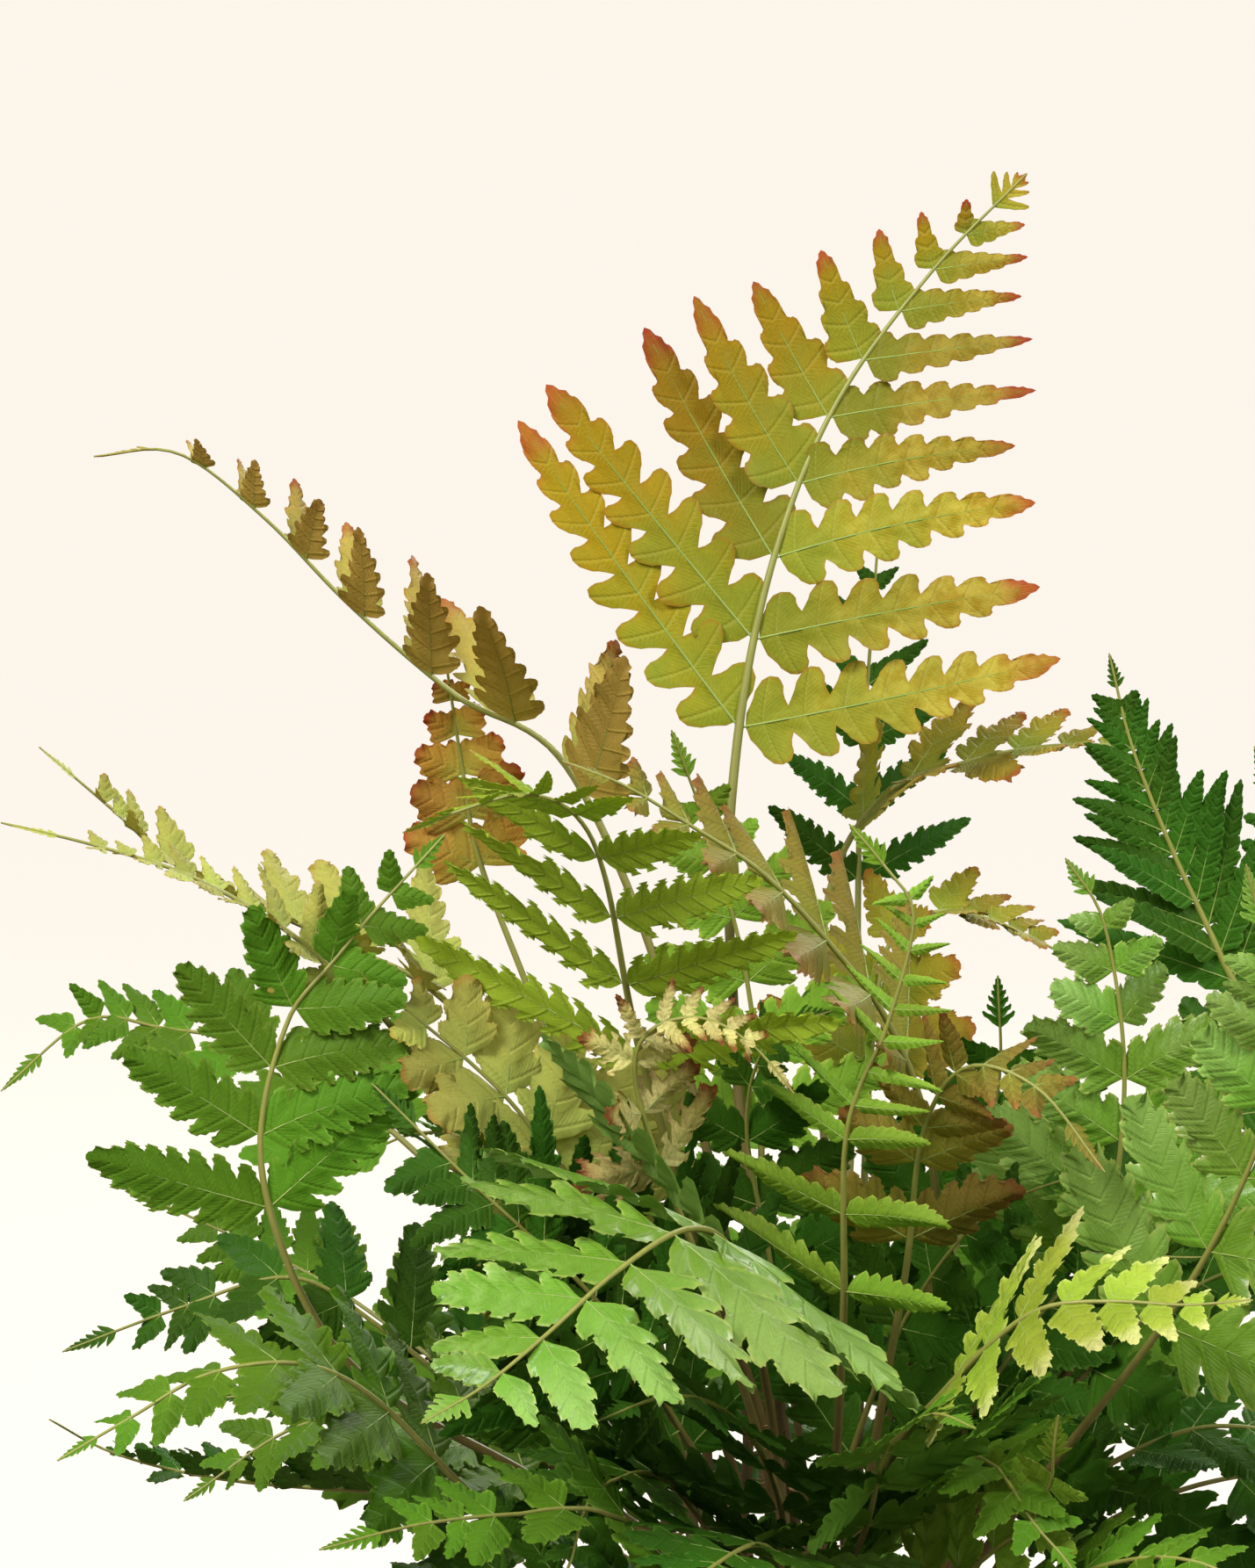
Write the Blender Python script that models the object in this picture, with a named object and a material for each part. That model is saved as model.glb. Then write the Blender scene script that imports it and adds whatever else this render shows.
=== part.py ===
# Potted autumn fern: a plain clay pot, compost, a rootstock and its fronds.
# All lengths in the tables are millimetres; the scene is in metres, +Z up.
# The origin is the centre of the pot's base, and -Y is the plant's front.

import math
import random

import bmesh
import bpy
import numpy as np
from mathutils import Vector
from mathutils.bvhtree import BVHTree
from mathutils.kdtree import KDTree

MM = 0.001
SEED = 41
GAP = 0.3

# Pot
POT_HEIGHT = 145.0
POT_BASE_RADIUS = 55.0
POT_WALL_TOP_RADIUS = 75.5
RIM_RADIUS = 80.0
RIM_BASE_RADIUS = 77.5
RIM_HEIGHT = 24.0
WALL = 6.0
FLOOR = 8.0
EDGE = 1.5
POT_SIDES = 40
DRAIN_RADIUS = 5.5
DRAIN_RING = 29.0
DRAIN_COUNT = 4
DRAIN_SIDES = 12

# Compost and rootstock
SOIL_TOP = 127.0
SOIL_DOME = 2.0
ROOT_RADIUS = 42.5
ROOT_BOTTOM = 104.0
ROOT_TOP = 134.0
ROOT_DOME = 7.0
ROOT_SHOULDER = 22.0
ROOT_SIDES = 20
SOCKET_BOTTOM = 121.0
SOCKET_LENGTH = 15.0

# How the stalks stand in the rootstock: the widest ring, the ring of the low fronds outside it,
# the innermost ring, the distance between two,
# the reach of a frond that stands on the widest ring, and the depth under the sockets that
# their directions meet at
CROWN_SPREAD = 29.0
LOW_RING = 34.5
CROWN_HEART = 5.0
STALK_PITCH = 7.6
FULL_REACH = 260.0
SPLAY_DEPTH = 90.0
SPREAD_ROUNDS = 600

# How the ribs' lines are eased apart: the straight foot of each, the length over which it comes
# free, the distances kept at the foot and beyond, and the share and limit of one push
STRAIGHT = 18.0
FREE_LENGTH = 30.0
FOOT_CLEARANCE = 4.7
LINE_CLEARANCE = 6.0
PUSH_SHARE = 0.35
PUSH_LIMIT = 1.2
PUSH_ROUNDS = 60

# Stalks, ribs and leaflets
STALK_RADIUS = 2.0
RIB_RADIUS = 1.2
TIP_RADIUS = 0.55
STALK_STEPS = 4
SAMPLE = 3.0
TUBE_CLEARANCE = 0.2
LEAF_CLEARANCE = 0.45

# A blade's outline: how the pairs crowd towards the tip, the pairs that the lobed end stands for,
# and how fast the leaflets shorten
CROWDING = 1.6
TAIL_PAIRS = 2.2
TAPER = 0.9

# A leaflet's outline: half its thickness on the rib, its widest half width, the half width left
# in a notch, the angle it has lost at the tip of the blade, and its length where lobes are dropped
RIDGE = 0.65
LEAST_HALF_WIDTH = 4.0
HALF_WIDTH_SHARE = 0.085
SPACING_SHARE = 0.52
SLIMNESS = 0.32
NOTCH = 0.6
ANGLE_LOSS = 8
SMALL_LEAFLET = 19.0
# Leaflets from this length on stand on a narrow neck, with bare rib up to the next one.
NECKED_LEAFLET = 33.0
NECK = 4.5
# The frond's lobed end: its half width as a share of its length, its widest, and its length
# from which it has two lobes an edge
END_SHARE = 0.3
END_HALF_WIDTH = 3.6
TWO_LOBED_END = 9.0

COPPER = (150, 104, 52)
OLIVE = (146, 138, 46)
LIME = (126, 158, 62)
GREEN = (62, 122, 48)
DARK = (34, 86, 36)

TOP = (0.0, -0.75, 0.85)

# Each frond: colour, leaflet pairs, longest leaflet, bare share of its length, leaflet fold-up and
# angle to the rib in degrees, direction the upper side faces, and the points its rib passes
# through after leaving the rootstock.
FRONDS = {
    "copper_tall": (OLIVE, 9, 118, 0.62, 4, 62, (0.0, -1.0, 0.1), (
        (-11, 15, 258), (-21, 25, 369), (-19, 32, 429), (-8, 38, 485),
        (11, 45, 532), (40, 50, 572), (69, 48, 602))),
    "copper_left_high": (COPPER, 7, 60, 0.62, 42, 60, (0.35, 0.0, 1.0), (
        (-16, 5, 233), (-37, 10, 344), (-69, 10, 423), (-103, 5, 446),
        (-134, 0, 473), (-159, -5, 499), (-184, -10, 518), (-208, -15, 517))),
    "copper_left_small": (COPPER, 5, 21, 0.80, 5, 52, (0.1, -1.0, 0.1), (
        (-45, 35, 255), (-80, 45, 348), (-97, 45, 393), (-102, 40, 421), (-108, 35, 462))),
    "copper_left_low": (OLIVE, 7, 40, 0.66, 32, 58, (0.25, -0.3, 1.0), (
        (-30, -10, 236), (-71, -22, 321), (-107, -28, 360), (-130, -30, 373),
        (-158, -32, 386), (-183, -36, 399), (-200, -42, 415), (-221, -48, 434))),
    "copper_left_tip": (OLIVE, 5, 22, 0.72, 20, 54, (0.2, -0.4, 1.0), (
        (-48, -30, 240), (-91, -55, 313), (-123, -66, 360), (-148, -72, 383),
        (-175, -76, 399), (-201, -80, 408), (-228, -84, 415))),
    "lime_front": (LIME, 7, 66, 0.62, 8, 66, (0.4, 0.5, 0.8), (
        (-9, -30, 214), (-33, -60, 296), (-49, -80, 352), (-58, -108, 401),
        (-66, -125, 420), (-79, -140, 427), (-95, -150, 424), (-112, -158, 418))),
    "copper_front": (COPPER, 7, 54, 0.62, 6, 62, (0.3, -0.4, 0.8), (
        (12, -20, 199), (36, -35, 272), (35, -50, 320), (23, -62, 355), (6, -75, 379),
        (-14, -88, 401), (-34, -98, 415), (-53, -105, 427), (-70, -110, 434))),
    "copper_right": (OLIVE, 6, 44, 0.74, 14, 62, (-0.1, -0.25, 1.0), (
        (12, 50, 252), (8, 70, 331), (11, 72, 383), (28, 70, 412),
        (52, 66, 422), (74, 62, 427), (94, 58, 428), (116, 55, 426))),
    "green_back_thin": (DARK, 6, 40, 0.70, 4, 58, (0.5, -0.85, 0.1), (
        (15, 80, 247), (20, 100, 328), (21, 105, 383), (22, 108, 416), (28, 112, 501))),
    "green_right_upright": (DARK, 7, 46, 0.73, 6, 42, (-0.1, -1.0, 0.2), (
        (38, -15, 184), (88, -30, 266), (123, -38, 321), (128, -42, 352),
        (119, -44, 374), (105, -46, 404), (93, -48, 434), (86, -50, 461))),
    "green_right_edge": (DARK, 6, 42, 0.66, 8, 56, (-0.5, -0.8, 0.3), (
        (50, 10, 192), (110, 15, 285), (147, 20, 350), (148, 20, 390), (136, 20, 430))),
    "green_right_glossy": (GREEN, 7, 50, 0.58, 8, 62, (-0.1, -1.0, 0.4), (
        (42, -25, 213), (81, -50, 282), (90, -62, 334), (84, -68, 383), (72, -72, 404))),
    "green_right_near": (GREEN, 6, 50, 0.58, 8, 62, (-0.2, -0.9, 0.5), (
        (45, -60, 194), (98, -110, 279), (121, -135, 334), (124, -145, 369), (114, -152, 409))),
    "lime_slender": (LIME, 7, 50, 0.55, 6, 72, (-0.5, -0.8, 0.2), (
        (7, -45, 204), (9, -85, 275), (9, -104, 330), (20, -110, 361),
        (27, -113, 391), (19, -114, 405), (9, -115, 417))),
    "green_front_glossy": (GREEN, 7, 72, 0.53, 2, 60, (0.1, -0.6, 0.8), (
        (-7, -45, 204), (-14, -80, 262), (-23, -115, 298), (-36, -150, 310),
        (-55, -185, 304), (-73, -212, 292), (-89, -232, 282), (-104, -250, 276))),
    "lime_right_front": (LIME, 7, 44, 0.66, 4, 62, (0.1, -0.6, 0.8), (
        (14, -60, 194), (22, -105, 239), (34, -130, 261), (47, -148, 279),
        (60, -158, 290), (78, -166, 293), (96, -172, 293), (114, -176, 295))),
    "green_left": (GREEN, 7, 50, 0.67, 4, 62, (0.15, -1.0, 0.2), (
        (-30, -20, 185), (-81, -45, 222), (-121, -60, 248), (-143, -70, 275),
        (-156, -76, 318), (-149, -74, 356), (-134, -70, 377), (-104, -62, 410))),
    "green_left_low": (GREEN, 7, 42, 0.58, 4, 60, (0.0, -0.45, 0.9), (
        (-33, -40, 177), (-71, -70, 199), (-96, -90, 225), (-122, -105, 255),
        (-142, -115, 267), (-167, -124, 266), (-188, -130, 255), (-208, -136, 244))),
    "green_left_bottom": (DARK, 7, 36, 0.42, 38, 60, (0.0, 0.1, 1.0), (
        (-29, 10, 165), (-59, 25, 186), (-104, 28, 201), (-136, 26, 203),
        (-176, 24, 207), (-207, 22, 215), (-227, 20, 226))),
    "green_front_left": (GREEN, 6, 50, 0.46, 2, 62, (0.1, -0.5, 0.85), (
        (-15, -70, 184), (-34, -120, 215), (-55, -150, 231), (-79, -168, 236),
        (-107, -182, 236), (-133, -195, 232))),
    "green_front_bottom": (DARK, 6, 50, 0.42, 0, 62, (0.0, -0.5, 0.9), (
        (-4, -80, 183), (-10, -130, 214), (-18, -165, 227), (-32, -200, 227),
        (-49, -225, 219), (-64, -240, 204))),
    "green_left_far": (GREEN, 6, 40, 0.62, 12, 58, TOP, (
        (-40, 35, 214), (-94, 70, 276), (-139, 90, 315), (-172, 98, 331),
        (-199, 98, 336), (-222, 94, 339), (-248, 82, 318))),
    "green_left_behind": (GREEN, 6, 52, 0.44, 6, 62, TOP, (
        (-40, 40, 178), (-89, 90, 212), (-132, 125, 239), (-161, 140, 254), (-220, 155, 279))),
    "green_left_behind_low": (DARK, 6, 48, 0.40, 6, 62, TOP, (
        (-34, 35, 160), (-78, 80, 191), (-118, 110, 208), (-155, 130, 214), (-187, 140, 210))),
    "copper_unfurling": (COPPER, 6, 26, 0.70, 14, 64, (0.2, -0.7, 0.6), (
        (-10, -45, 217), (-31, -80, 287), (-46, -100, 329), (-50, -106, 349),
        (-45, -110, 360), (-31, -112, 363), (-17, -112, 355), (-6, -112, 342))),
    "copper_pale_left": (OLIVE, 6, 46, 0.60, 10, 62, (0.2, -0.7, 0.6), (
        (-19, -20, 212), (-45, -40, 273), (-77, -58, 322), (-96, -64, 344), (-129, -72, 372))),
    "green_dark_left": (DARK, 6, 54, 0.48, 6, 62, (0.2, -0.7, 0.6), (
        (-17, -40, 195), (-41, -70, 247), (-61, -85, 280), (-95, -100, 315), (-123, -106, 344))),
    "green_right_low": (LIME, 6, 48, 0.44, 4, 62, (0.0, -0.8, 0.5), (
        (19, -80, 178), (39, -120, 207), (54, -145, 227), (61, -160, 245), (63, -170, 263))),
    "green_right_bottom": (GREEN, 6, 50, 0.42, 4, 62, (0.0, -0.5, 0.9), (
        (24, -80, 173), (53, -130, 202), (79, -160, 221), (101, -180, 225), (122, -195, 214))),
    "green_right_far": (GREEN, 6, 54, 0.44, 8, 62, TOP, (
        (45, 20, 204), (86, 35, 268), (132, 45, 307), (176, 50, 320), (219, 50, 309))),
    "green_right_mid": (DARK, 6, 54, 0.42, 6, 62, (-0.1, -0.6, 0.9), (
        (42, -30, 193), (80, -60, 255), (118, -80, 287), (161, -95, 294), (199, -105, 278))),
    "green_right_wide": (DARK, 6, 52, 0.38, 6, 62, TOP, (
        (44, 0, 160), (89, 5, 196), (134, 5, 212), (180, 0, 210), (222, -5, 193))),
    "green_middle": (DARK, 6, 50, 0.50, 6, 62, (-0.2, -0.7, 0.6), (
        (1, 0, 208), (-9, -10, 275), (-17, -20, 321), (-10, -35, 349), (7, -50, 358))),
    "lime_middle": (LIME, 6, 46, 0.60, 8, 60, (0.1, -0.9, 0.2), (
        (-11, 20, 257), (-12, 22, 316), (-16, 18, 359), (-26, 10, 399), (-39, 0, 436))),
    "green_middle_right": (DARK, 6, 48, 0.46, 6, 62, (-0.1, -0.7, 0.7), (
        (9, -20, 199), (23, -40, 254), (40, -55, 288), (57, -65, 305), (79, -75, 315))),
    "green_front_middle": (DARK, 6, 48, 0.46, 4, 62, (0.0, -0.6, 0.8), (
        (-5, -60, 194), (-12, -110, 235), (-25, -150, 260), (-41, -180, 270), (-60, -205, 268))),
    "green_front_right": (GREEN, 6, 46, 0.46, 4, 62, (0.0, -0.6, 0.8), (
        (6, -70, 184), (14, -120, 222), (18, -160, 252), (28, -190, 267), (38, -215, 268))),
    "green_right_back": (DARK, 6, 50, 0.46, 6, 62, TOP, (
        (42, 60, 182), (78, 100, 244), (110, 120, 283), (142, 130, 310), (170, 135, 315))),
    "green_left_under": (DARK, 6, 46, 0.44, 4, 62, TOP, (
        (-17, -30, 161), (-51, -70, 189), (-80, -95, 202), (-109, -110, 201), (-136, -118, 190))),
    "green_left_mid": (DARK, 6, 46, 0.50, 8, 62, TOP, (
        (-32, 15, 178), (-82, 25, 216), (-128, 25, 254), (-154, 22, 269),
        (-188, 18, 260), (-222, 12, 248))),
    "copper_droop": (COPPER, 5, 34, 0.62, 4, 60, (0.1, -0.7, 0.7), (
        (18, -45, 217), (27, -75, 286), (31, -90, 328), (42, -102, 348),
        (61, -115, 344), (79, -125, 322))),
    "green_right_inner": (DARK, 6, 52, 0.46, 6, 62, (-0.1, -0.9, 0.3), (
        (21, 10, 184), (37, 15, 250), (52, 12, 296), (59, 6, 331), (58, 0, 363))),
    "olive_right_back": (OLIVE, 6, 34, 0.66, 20, 62, (-0.1, -0.3, 1.0), (
        (19, 40, 227), (22, 55, 319), (28, 60, 365), (41, 60, 376),
        (57, 58, 375), (76, 55, 367), (92, 50, 358))),
    "green_back_left": (GREEN, 6, 56, 0.42, 6, 62, (0.3, 0.3, 1.0), (
        (-29, 70, 193), (-56, 130, 253), (-85, 170, 284), (-121, 200, 289), (-154, 220, 271))),
    "green_back": (GREEN, 6, 56, 0.42, 6, 62, (0.0, 0.3, 1.0), (
        (-4, 70, 193), (-11, 130, 253), (-16, 180, 289), (-18, 220, 298), (-18, 260, 281))),
    "green_back_right": (DARK, 6, 56, 0.42, 6, 62, (-0.3, 0.3, 1.0), (
        (26, 70, 193), (54, 120, 254), (85, 160, 297), (122, 190, 317), (163, 215, 311))),
    "green_back_right_low": (GREEN, 6, 52, 0.38, 4, 62, (-0.2, 0.2, 1.0), (
        (35, 70, 166), (74, 130, 196), (118, 170, 214), (165, 200, 209), (203, 220, 181))),
    "green_back_low": (DARK, 6, 52, 0.38, 4, 62, (0.0, 0.2, 1.0), (
        (7, 80, 163), (18, 140, 194), (29, 190, 208), (34, 230, 200), (37, 265, 169))),
    "green_back_left_low": (DARK, 6, 52, 0.38, 4, 62, (0.2, 0.2, 1.0), (
        (-20, 70, 166), (-50, 130, 193), (-85, 180, 206), (-122, 210, 195), (-153, 235, 166))),
}

# The low fronds, which stand round the others and fill the plant under them.
LOW_FRONDS = {
    "low_front_left": (DARK, 8, 60, 0.40, 8, 62, (0.0, -0.6, 1.0), (
        (-20, -62, 190), (-40, -108, 232), (-58, -146, 238), (-72, -180, 214))),
    "low_front_right": (GREEN, 8, 58, 0.40, 8, 62, (0.0, -0.6, 1.0), (
        (20, -58, 192), (34, -102, 236), (50, -140, 242), (68, -172, 220))),
    "low_middle_left": (DARK, 8, 54, 0.48, 8, 60, (0.2, -0.9, 0.8), (
        (-34, -36, 216), (-52, -50, 272), (-66, -64, 304), (-86, -80, 318))),
    "low_middle_right": (DARK, 8, 54, 0.46, 8, 60, (-0.2, -0.9, 0.8), (
        (38, -34, 212), (62, -48, 262), (84, -60, 286), (112, -72, 290))),
    "low_left": (GREEN, 8, 56, 0.40, 8, 62, (0.3, -0.4, 1.0), (
        (-62, -16, 196), (-108, -22, 232), (-146, -28, 234), (-182, -34, 212))),
    "low_right": (DARK, 8, 56, 0.40, 8, 62, (-0.3, -0.4, 1.0), (
        (62, -18, 196), (108, -26, 230), (146, -36, 230), (180, -46, 208))),
    "low_back_left": (DARK, 8, 54, 0.42, 8, 62, (0.2, 0.3, 1.0), (
        (-44, 50, 196), (-76, 90, 230), (-104, 124, 232), (-132, 154, 210))),
    "low_back_right": (GREEN, 8, 54, 0.42, 8, 62, (-0.2, 0.3, 1.0), (
        (46, 48, 196), (82, 84, 226), (112, 114, 224), (140, 142, 200))),
}
ALL_FRONDS = {**FRONDS, **LOW_FRONDS}

# Leaflet angles at the blade's base and tip, left then right, where the two sides differ.
SIDE_ANGLES = {
    "copper_tall": ((46, 66), (70, 34)),
    "green_front_glossy": ((84, 66), (58, 54)),
}
# Share of the longest leaflet at the blade's base, and how fast they shorten, left then right.
SIDE_TAPERS = {"copper_tall": ((1.0, 1.25), (0.88, 0.8))}
# How far the leaflets hang, left then right; below 0 they rise.
SIDE_DROOPS = {"copper_tall": (-0.03, 0.09)}
DROOP = 0.08
# Most lobes along one edge of a leaflet.
LOBES = {"copper_tall": 3, "green_front_glossy": 3, "green_left": 3, "lime_front": 3}
PLAIN_LOBES = 2
# Fronds behind and under the others, whose leaflets have one lobe an edge.
PLAINEST = {
    "green_back", "green_back_left", "green_back_right", "green_back_low", "green_back_left_low",
    "green_back_right_low", "green_right_far", "green_right_mid", "green_right_wide",
    "green_right_back", "green_right_inner", "green_left_under", "green_left_mid",
    "olive_right_back", "green_dark_left", *LOW_FRONDS}

# What is tried in turn for a leaflet that would touch another piece: extra fold in degrees,
# extra angle to the rib in degrees, and share of the length.
WAYS_CLEAR = [
    (fold, swing, share)
    for share in (1.0, 0.8, 0.6, 0.42)
    for fold, swing in (
        (0, 0), (10, 0), (-10, 0), (20, 0), (-20, 0), (0, -14), (32, 0), (-32, 0),
        (14, -14), (-14, -14), (46, 0), (-46, 0), (24, -26), (-24, -26), (60, -8), (-60, -8))
]


def unit(vector):
    return vector / max(np.linalg.norm(vector), 1e-9)


def clear_scene():
    for obj in list(bpy.data.objects):
        bpy.data.objects.remove(obj, do_unlink=True)


def linear(value):
    share = value / 255.0
    return share / 12.92 if share <= 0.04045 else ((share + 0.055) / 1.055) ** 2.4


def material(name, colour, roughness):
    made = bpy.data.materials.new(name)
    made.use_nodes = True
    shader = made.node_tree.nodes["Principled BSDF"]
    shader.inputs["Base Color"].default_value = (*[linear(c) for c in colour], 1.0)
    shader.inputs["Roughness"].default_value = roughness
    shader.inputs["Metallic"].default_value = 0.0
    return made


def add_object(name, points, faces, made_of, smooth_degrees=None):
    mesh = bpy.data.meshes.new(name)
    mesh.from_pydata([tuple(float(c) * MM for c in point) for point in points], [], faces)
    mesh.validate()
    mesh.update()
    if smooth_degrees is not None:
        mesh.shade_smooth()
        mesh.set_sharp_from_angle(angle=math.radians(smooth_degrees))
    mesh.materials.append(made_of)
    obj = bpy.data.objects.new(name, mesh)
    bpy.context.scene.collection.objects.link(obj)
    return obj


def turned(profile, sides):
    """Points and faces of a closed profile of (radius, height) turned round Z, outline counterclockwise."""
    points = []
    rings = []
    for radius, height in profile:
        if radius == 0:
            rings.append([len(points)] * sides)
            points.append((0.0, 0.0, height))
            continue
        ring = []
        for k in range(sides):
            turn = 2 * math.pi * k / sides
            ring.append(len(points))
            points.append((radius * math.cos(turn), radius * math.sin(turn), height))
        rings.append(ring)
    faces = []
    for ring, above in zip(rings, rings[1:]):
        for k in range(sides):
            after = (k + 1) % sides
            corners = [ring[k], ring[after], above[after], above[k]]
            faces.append([c for i, c in enumerate(corners) if c != corners[i - 1]])
    return points, faces


def wall_radius(height):
    """Outer radius of the pot's wall under the rim."""
    share = height / (POT_HEIGHT - RIM_HEIGHT)
    return POT_BASE_RADIUS + (POT_WALL_TOP_RADIUS - POT_BASE_RADIUS) * share


def inner_radius(height):
    """Inner radius of the pot's wall under the rim."""
    return wall_radius(height) - WALL


def pot_profile():
    """The pot's outline from the middle of its base, up the outside, to the middle of its floor."""
    rim_base = POT_HEIGHT - RIM_HEIGHT
    inner_top = RIM_RADIUS - WALL - 1.0
    return [
        (0, 0),
        (POT_BASE_RADIUS - EDGE, 0),
        (wall_radius(EDGE), EDGE),
        (wall_radius(rim_base), rim_base),
        (RIM_BASE_RADIUS, rim_base + EDGE),
        (RIM_RADIUS, POT_HEIGHT - EDGE),
        (RIM_RADIUS - EDGE, POT_HEIGHT),
        (inner_top + EDGE, POT_HEIGHT),
        (inner_top, POT_HEIGHT - EDGE),
        (inner_radius(rim_base), rim_base),
        (inner_radius(FLOOR), FLOOR),
        (0, FLOOR),
    ]


def cut_with(obj, cutter):
    cutter.hide_render = True
    cutter.display_type = "WIRE"
    cut = obj.modifiers.new("cut", "BOOLEAN")
    cut.operation = "DIFFERENCE"
    cut.solver = "EXACT"
    cut.object = cutter


def build_pot():
    points, faces = turned(pot_profile(), POT_SIDES)
    pot = add_object("pot", points, faces, material("pot_clay", (176, 104, 74), 0.85), 35)
    drains = bmesh.new()
    for k in range(DRAIN_COUNT):
        turn = math.pi / DRAIN_COUNT + 2 * math.pi * k / DRAIN_COUNT
        made = bmesh.ops.create_cone(
            drains, cap_ends=True, segments=DRAIN_SIDES, depth=3 * FLOOR * MM,
            radius1=DRAIN_RADIUS * MM, radius2=DRAIN_RADIUS * MM)
        centre = Vector((math.cos(turn), math.sin(turn), 0)) * DRAIN_RING * MM
        bmesh.ops.translate(drains, verts=made["verts"], vec=centre)
    mesh = bpy.data.meshes.new("drain_cutters")
    drains.to_mesh(mesh)
    drains.free()
    cutter = bpy.data.objects.new("drain_cutters", mesh)
    bpy.context.scene.collection.objects.link(cutter)
    cut_with(pot, cutter)


def build_soil():
    hole = ROOT_RADIUS + GAP
    top_radius = inner_radius(SOIL_TOP - SOIL_DOME) - GAP
    rim_base = POT_HEIGHT - RIM_HEIGHT
    bottom = FLOOR + GAP
    profile = [
        (0, bottom),
        (inner_radius(bottom) - GAP, bottom),
        (inner_radius(rim_base) - GAP, rim_base),
        (inner_radius(rim_base) - GAP, SOIL_TOP - SOIL_DOME - 1),
        (top_radius - 6, SOIL_TOP - SOIL_DOME),
        (hole + 2, SOIL_TOP),
        (hole, SOIL_TOP - 1),
        (hole, ROOT_BOTTOM - GAP),
        (0, ROOT_BOTTOM - GAP),
    ]
    points, faces = turned(profile, POT_SIDES)
    add_object("soil", points, faces, material("soil_compost", (62, 46, 34), 0.95), 40)


def root_height(radius):
    """Height of the rootstock's domed top."""
    return ROOT_TOP - ROOT_DOME * (radius / ROOT_RADIUS) ** 2


def build_rootstock(fronds):
    profile = [(0, ROOT_BOTTOM), (ROOT_RADIUS, ROOT_BOTTOM), (ROOT_RADIUS, root_height(ROOT_RADIUS) - 1)]
    profile += [(radius, root_height(radius)) for radius in (ROOT_RADIUS - 2, ROOT_SHOULDER)]
    profile.append((0, ROOT_TOP))
    points, faces = turned(profile, ROOT_SIDES)
    stock = add_object("rootstock", points, faces, material("rootstock_scales", (92, 62, 40), 0.9), 40)
    reach = STALK_RADIUS + GAP * math.sqrt(2)
    points = []
    faces = []
    for frond in fronds:
        base = frond.rib.point(0)
        along, normal, side = frond.rib.frame(0)
        first = len(points)
        for level in (-GAP, 2 * SOCKET_LENGTH):
            middle = base + along * level
            points += [middle + normal * reach, middle + side * reach,
                       middle - normal * reach, middle - side * reach]
        faces += [[first, first + 1, first + 2, first + 3],
                  [first + 7, first + 6, first + 5, first + 4]]
        for k in range(4):
            after = (k + 1) % 4
            faces.append([first + k, first + 4 + k, first + 4 + after, first + after])
    cutter = add_object("socket_cutters", points, faces, stock.data.materials[0])
    cut_with(stock, cutter)


def smooth_line(knots):
    """A Catmull-Rom line through the knots, resampled evenly."""
    knots = np.array(knots, float)
    padded = np.vstack([2 * knots[0] - knots[1], knots, 2 * knots[-1] - knots[-2]])
    line = []
    for p0, p1, p2, p3 in zip(padded, padded[1:], padded[2:], padded[3:]):
        for t in np.arange(0, 1, 0.1):
            line.append(0.5 * (2 * p1 + (p2 - p0) * t + (2 * p0 - 5 * p1 + 4 * p2 - p3) * t ** 2
                               + (3 * p1 - p0 - 3 * p2 + p3) * t ** 3))
    line.append(knots[-1])
    line = np.array(line)
    reached = np.concatenate([[0], np.cumsum(np.linalg.norm(np.diff(line, axis=0), axis=1))])
    wanted = np.linspace(0, reached[-1], max(12, round(reached[-1] / SAMPLE)))
    return np.stack([np.interp(wanted, reached, line[:, axis]) for axis in range(3)], axis=1)


def place_stalks():
    """Where each stalk stands in the rootstock: towards its own blade, then spread to the pitch."""
    places = []
    for _, _, _, _, _, _, _, knots in FRONDS.values():
        towards = np.array(knots[1][:2], float) + np.array(knots[-1][:2], float)
        reach = min(1.0, np.linalg.norm(towards) / FULL_REACH)
        places.append(unit(towards) * (CROWN_HEART + (CROWN_SPREAD - CROWN_HEART) * reach))
    places = np.array(places)
    for _ in range(SPREAD_ROUNDS):
        for i in range(len(places)):
            apart = places[i] - places
            distance = np.linalg.norm(apart, axis=1)
            distance[i] = 1e9
            for j in np.flatnonzero(distance < STALK_PITCH):
                push = unit(apart[j]) * (STALK_PITCH - distance[j]) * 0.5
                places[i] += push
                places[j] -= push
        reach = np.linalg.norm(places, axis=1)
        places *= np.minimum(1.0, CROWN_SPREAD / np.maximum(reach, 1e-9))[:, None]
    low = [unit(np.array(spec[-1][0][:2], float)) * LOW_RING for spec in LOW_FRONDS.values()]
    return np.vstack([places, low])


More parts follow.
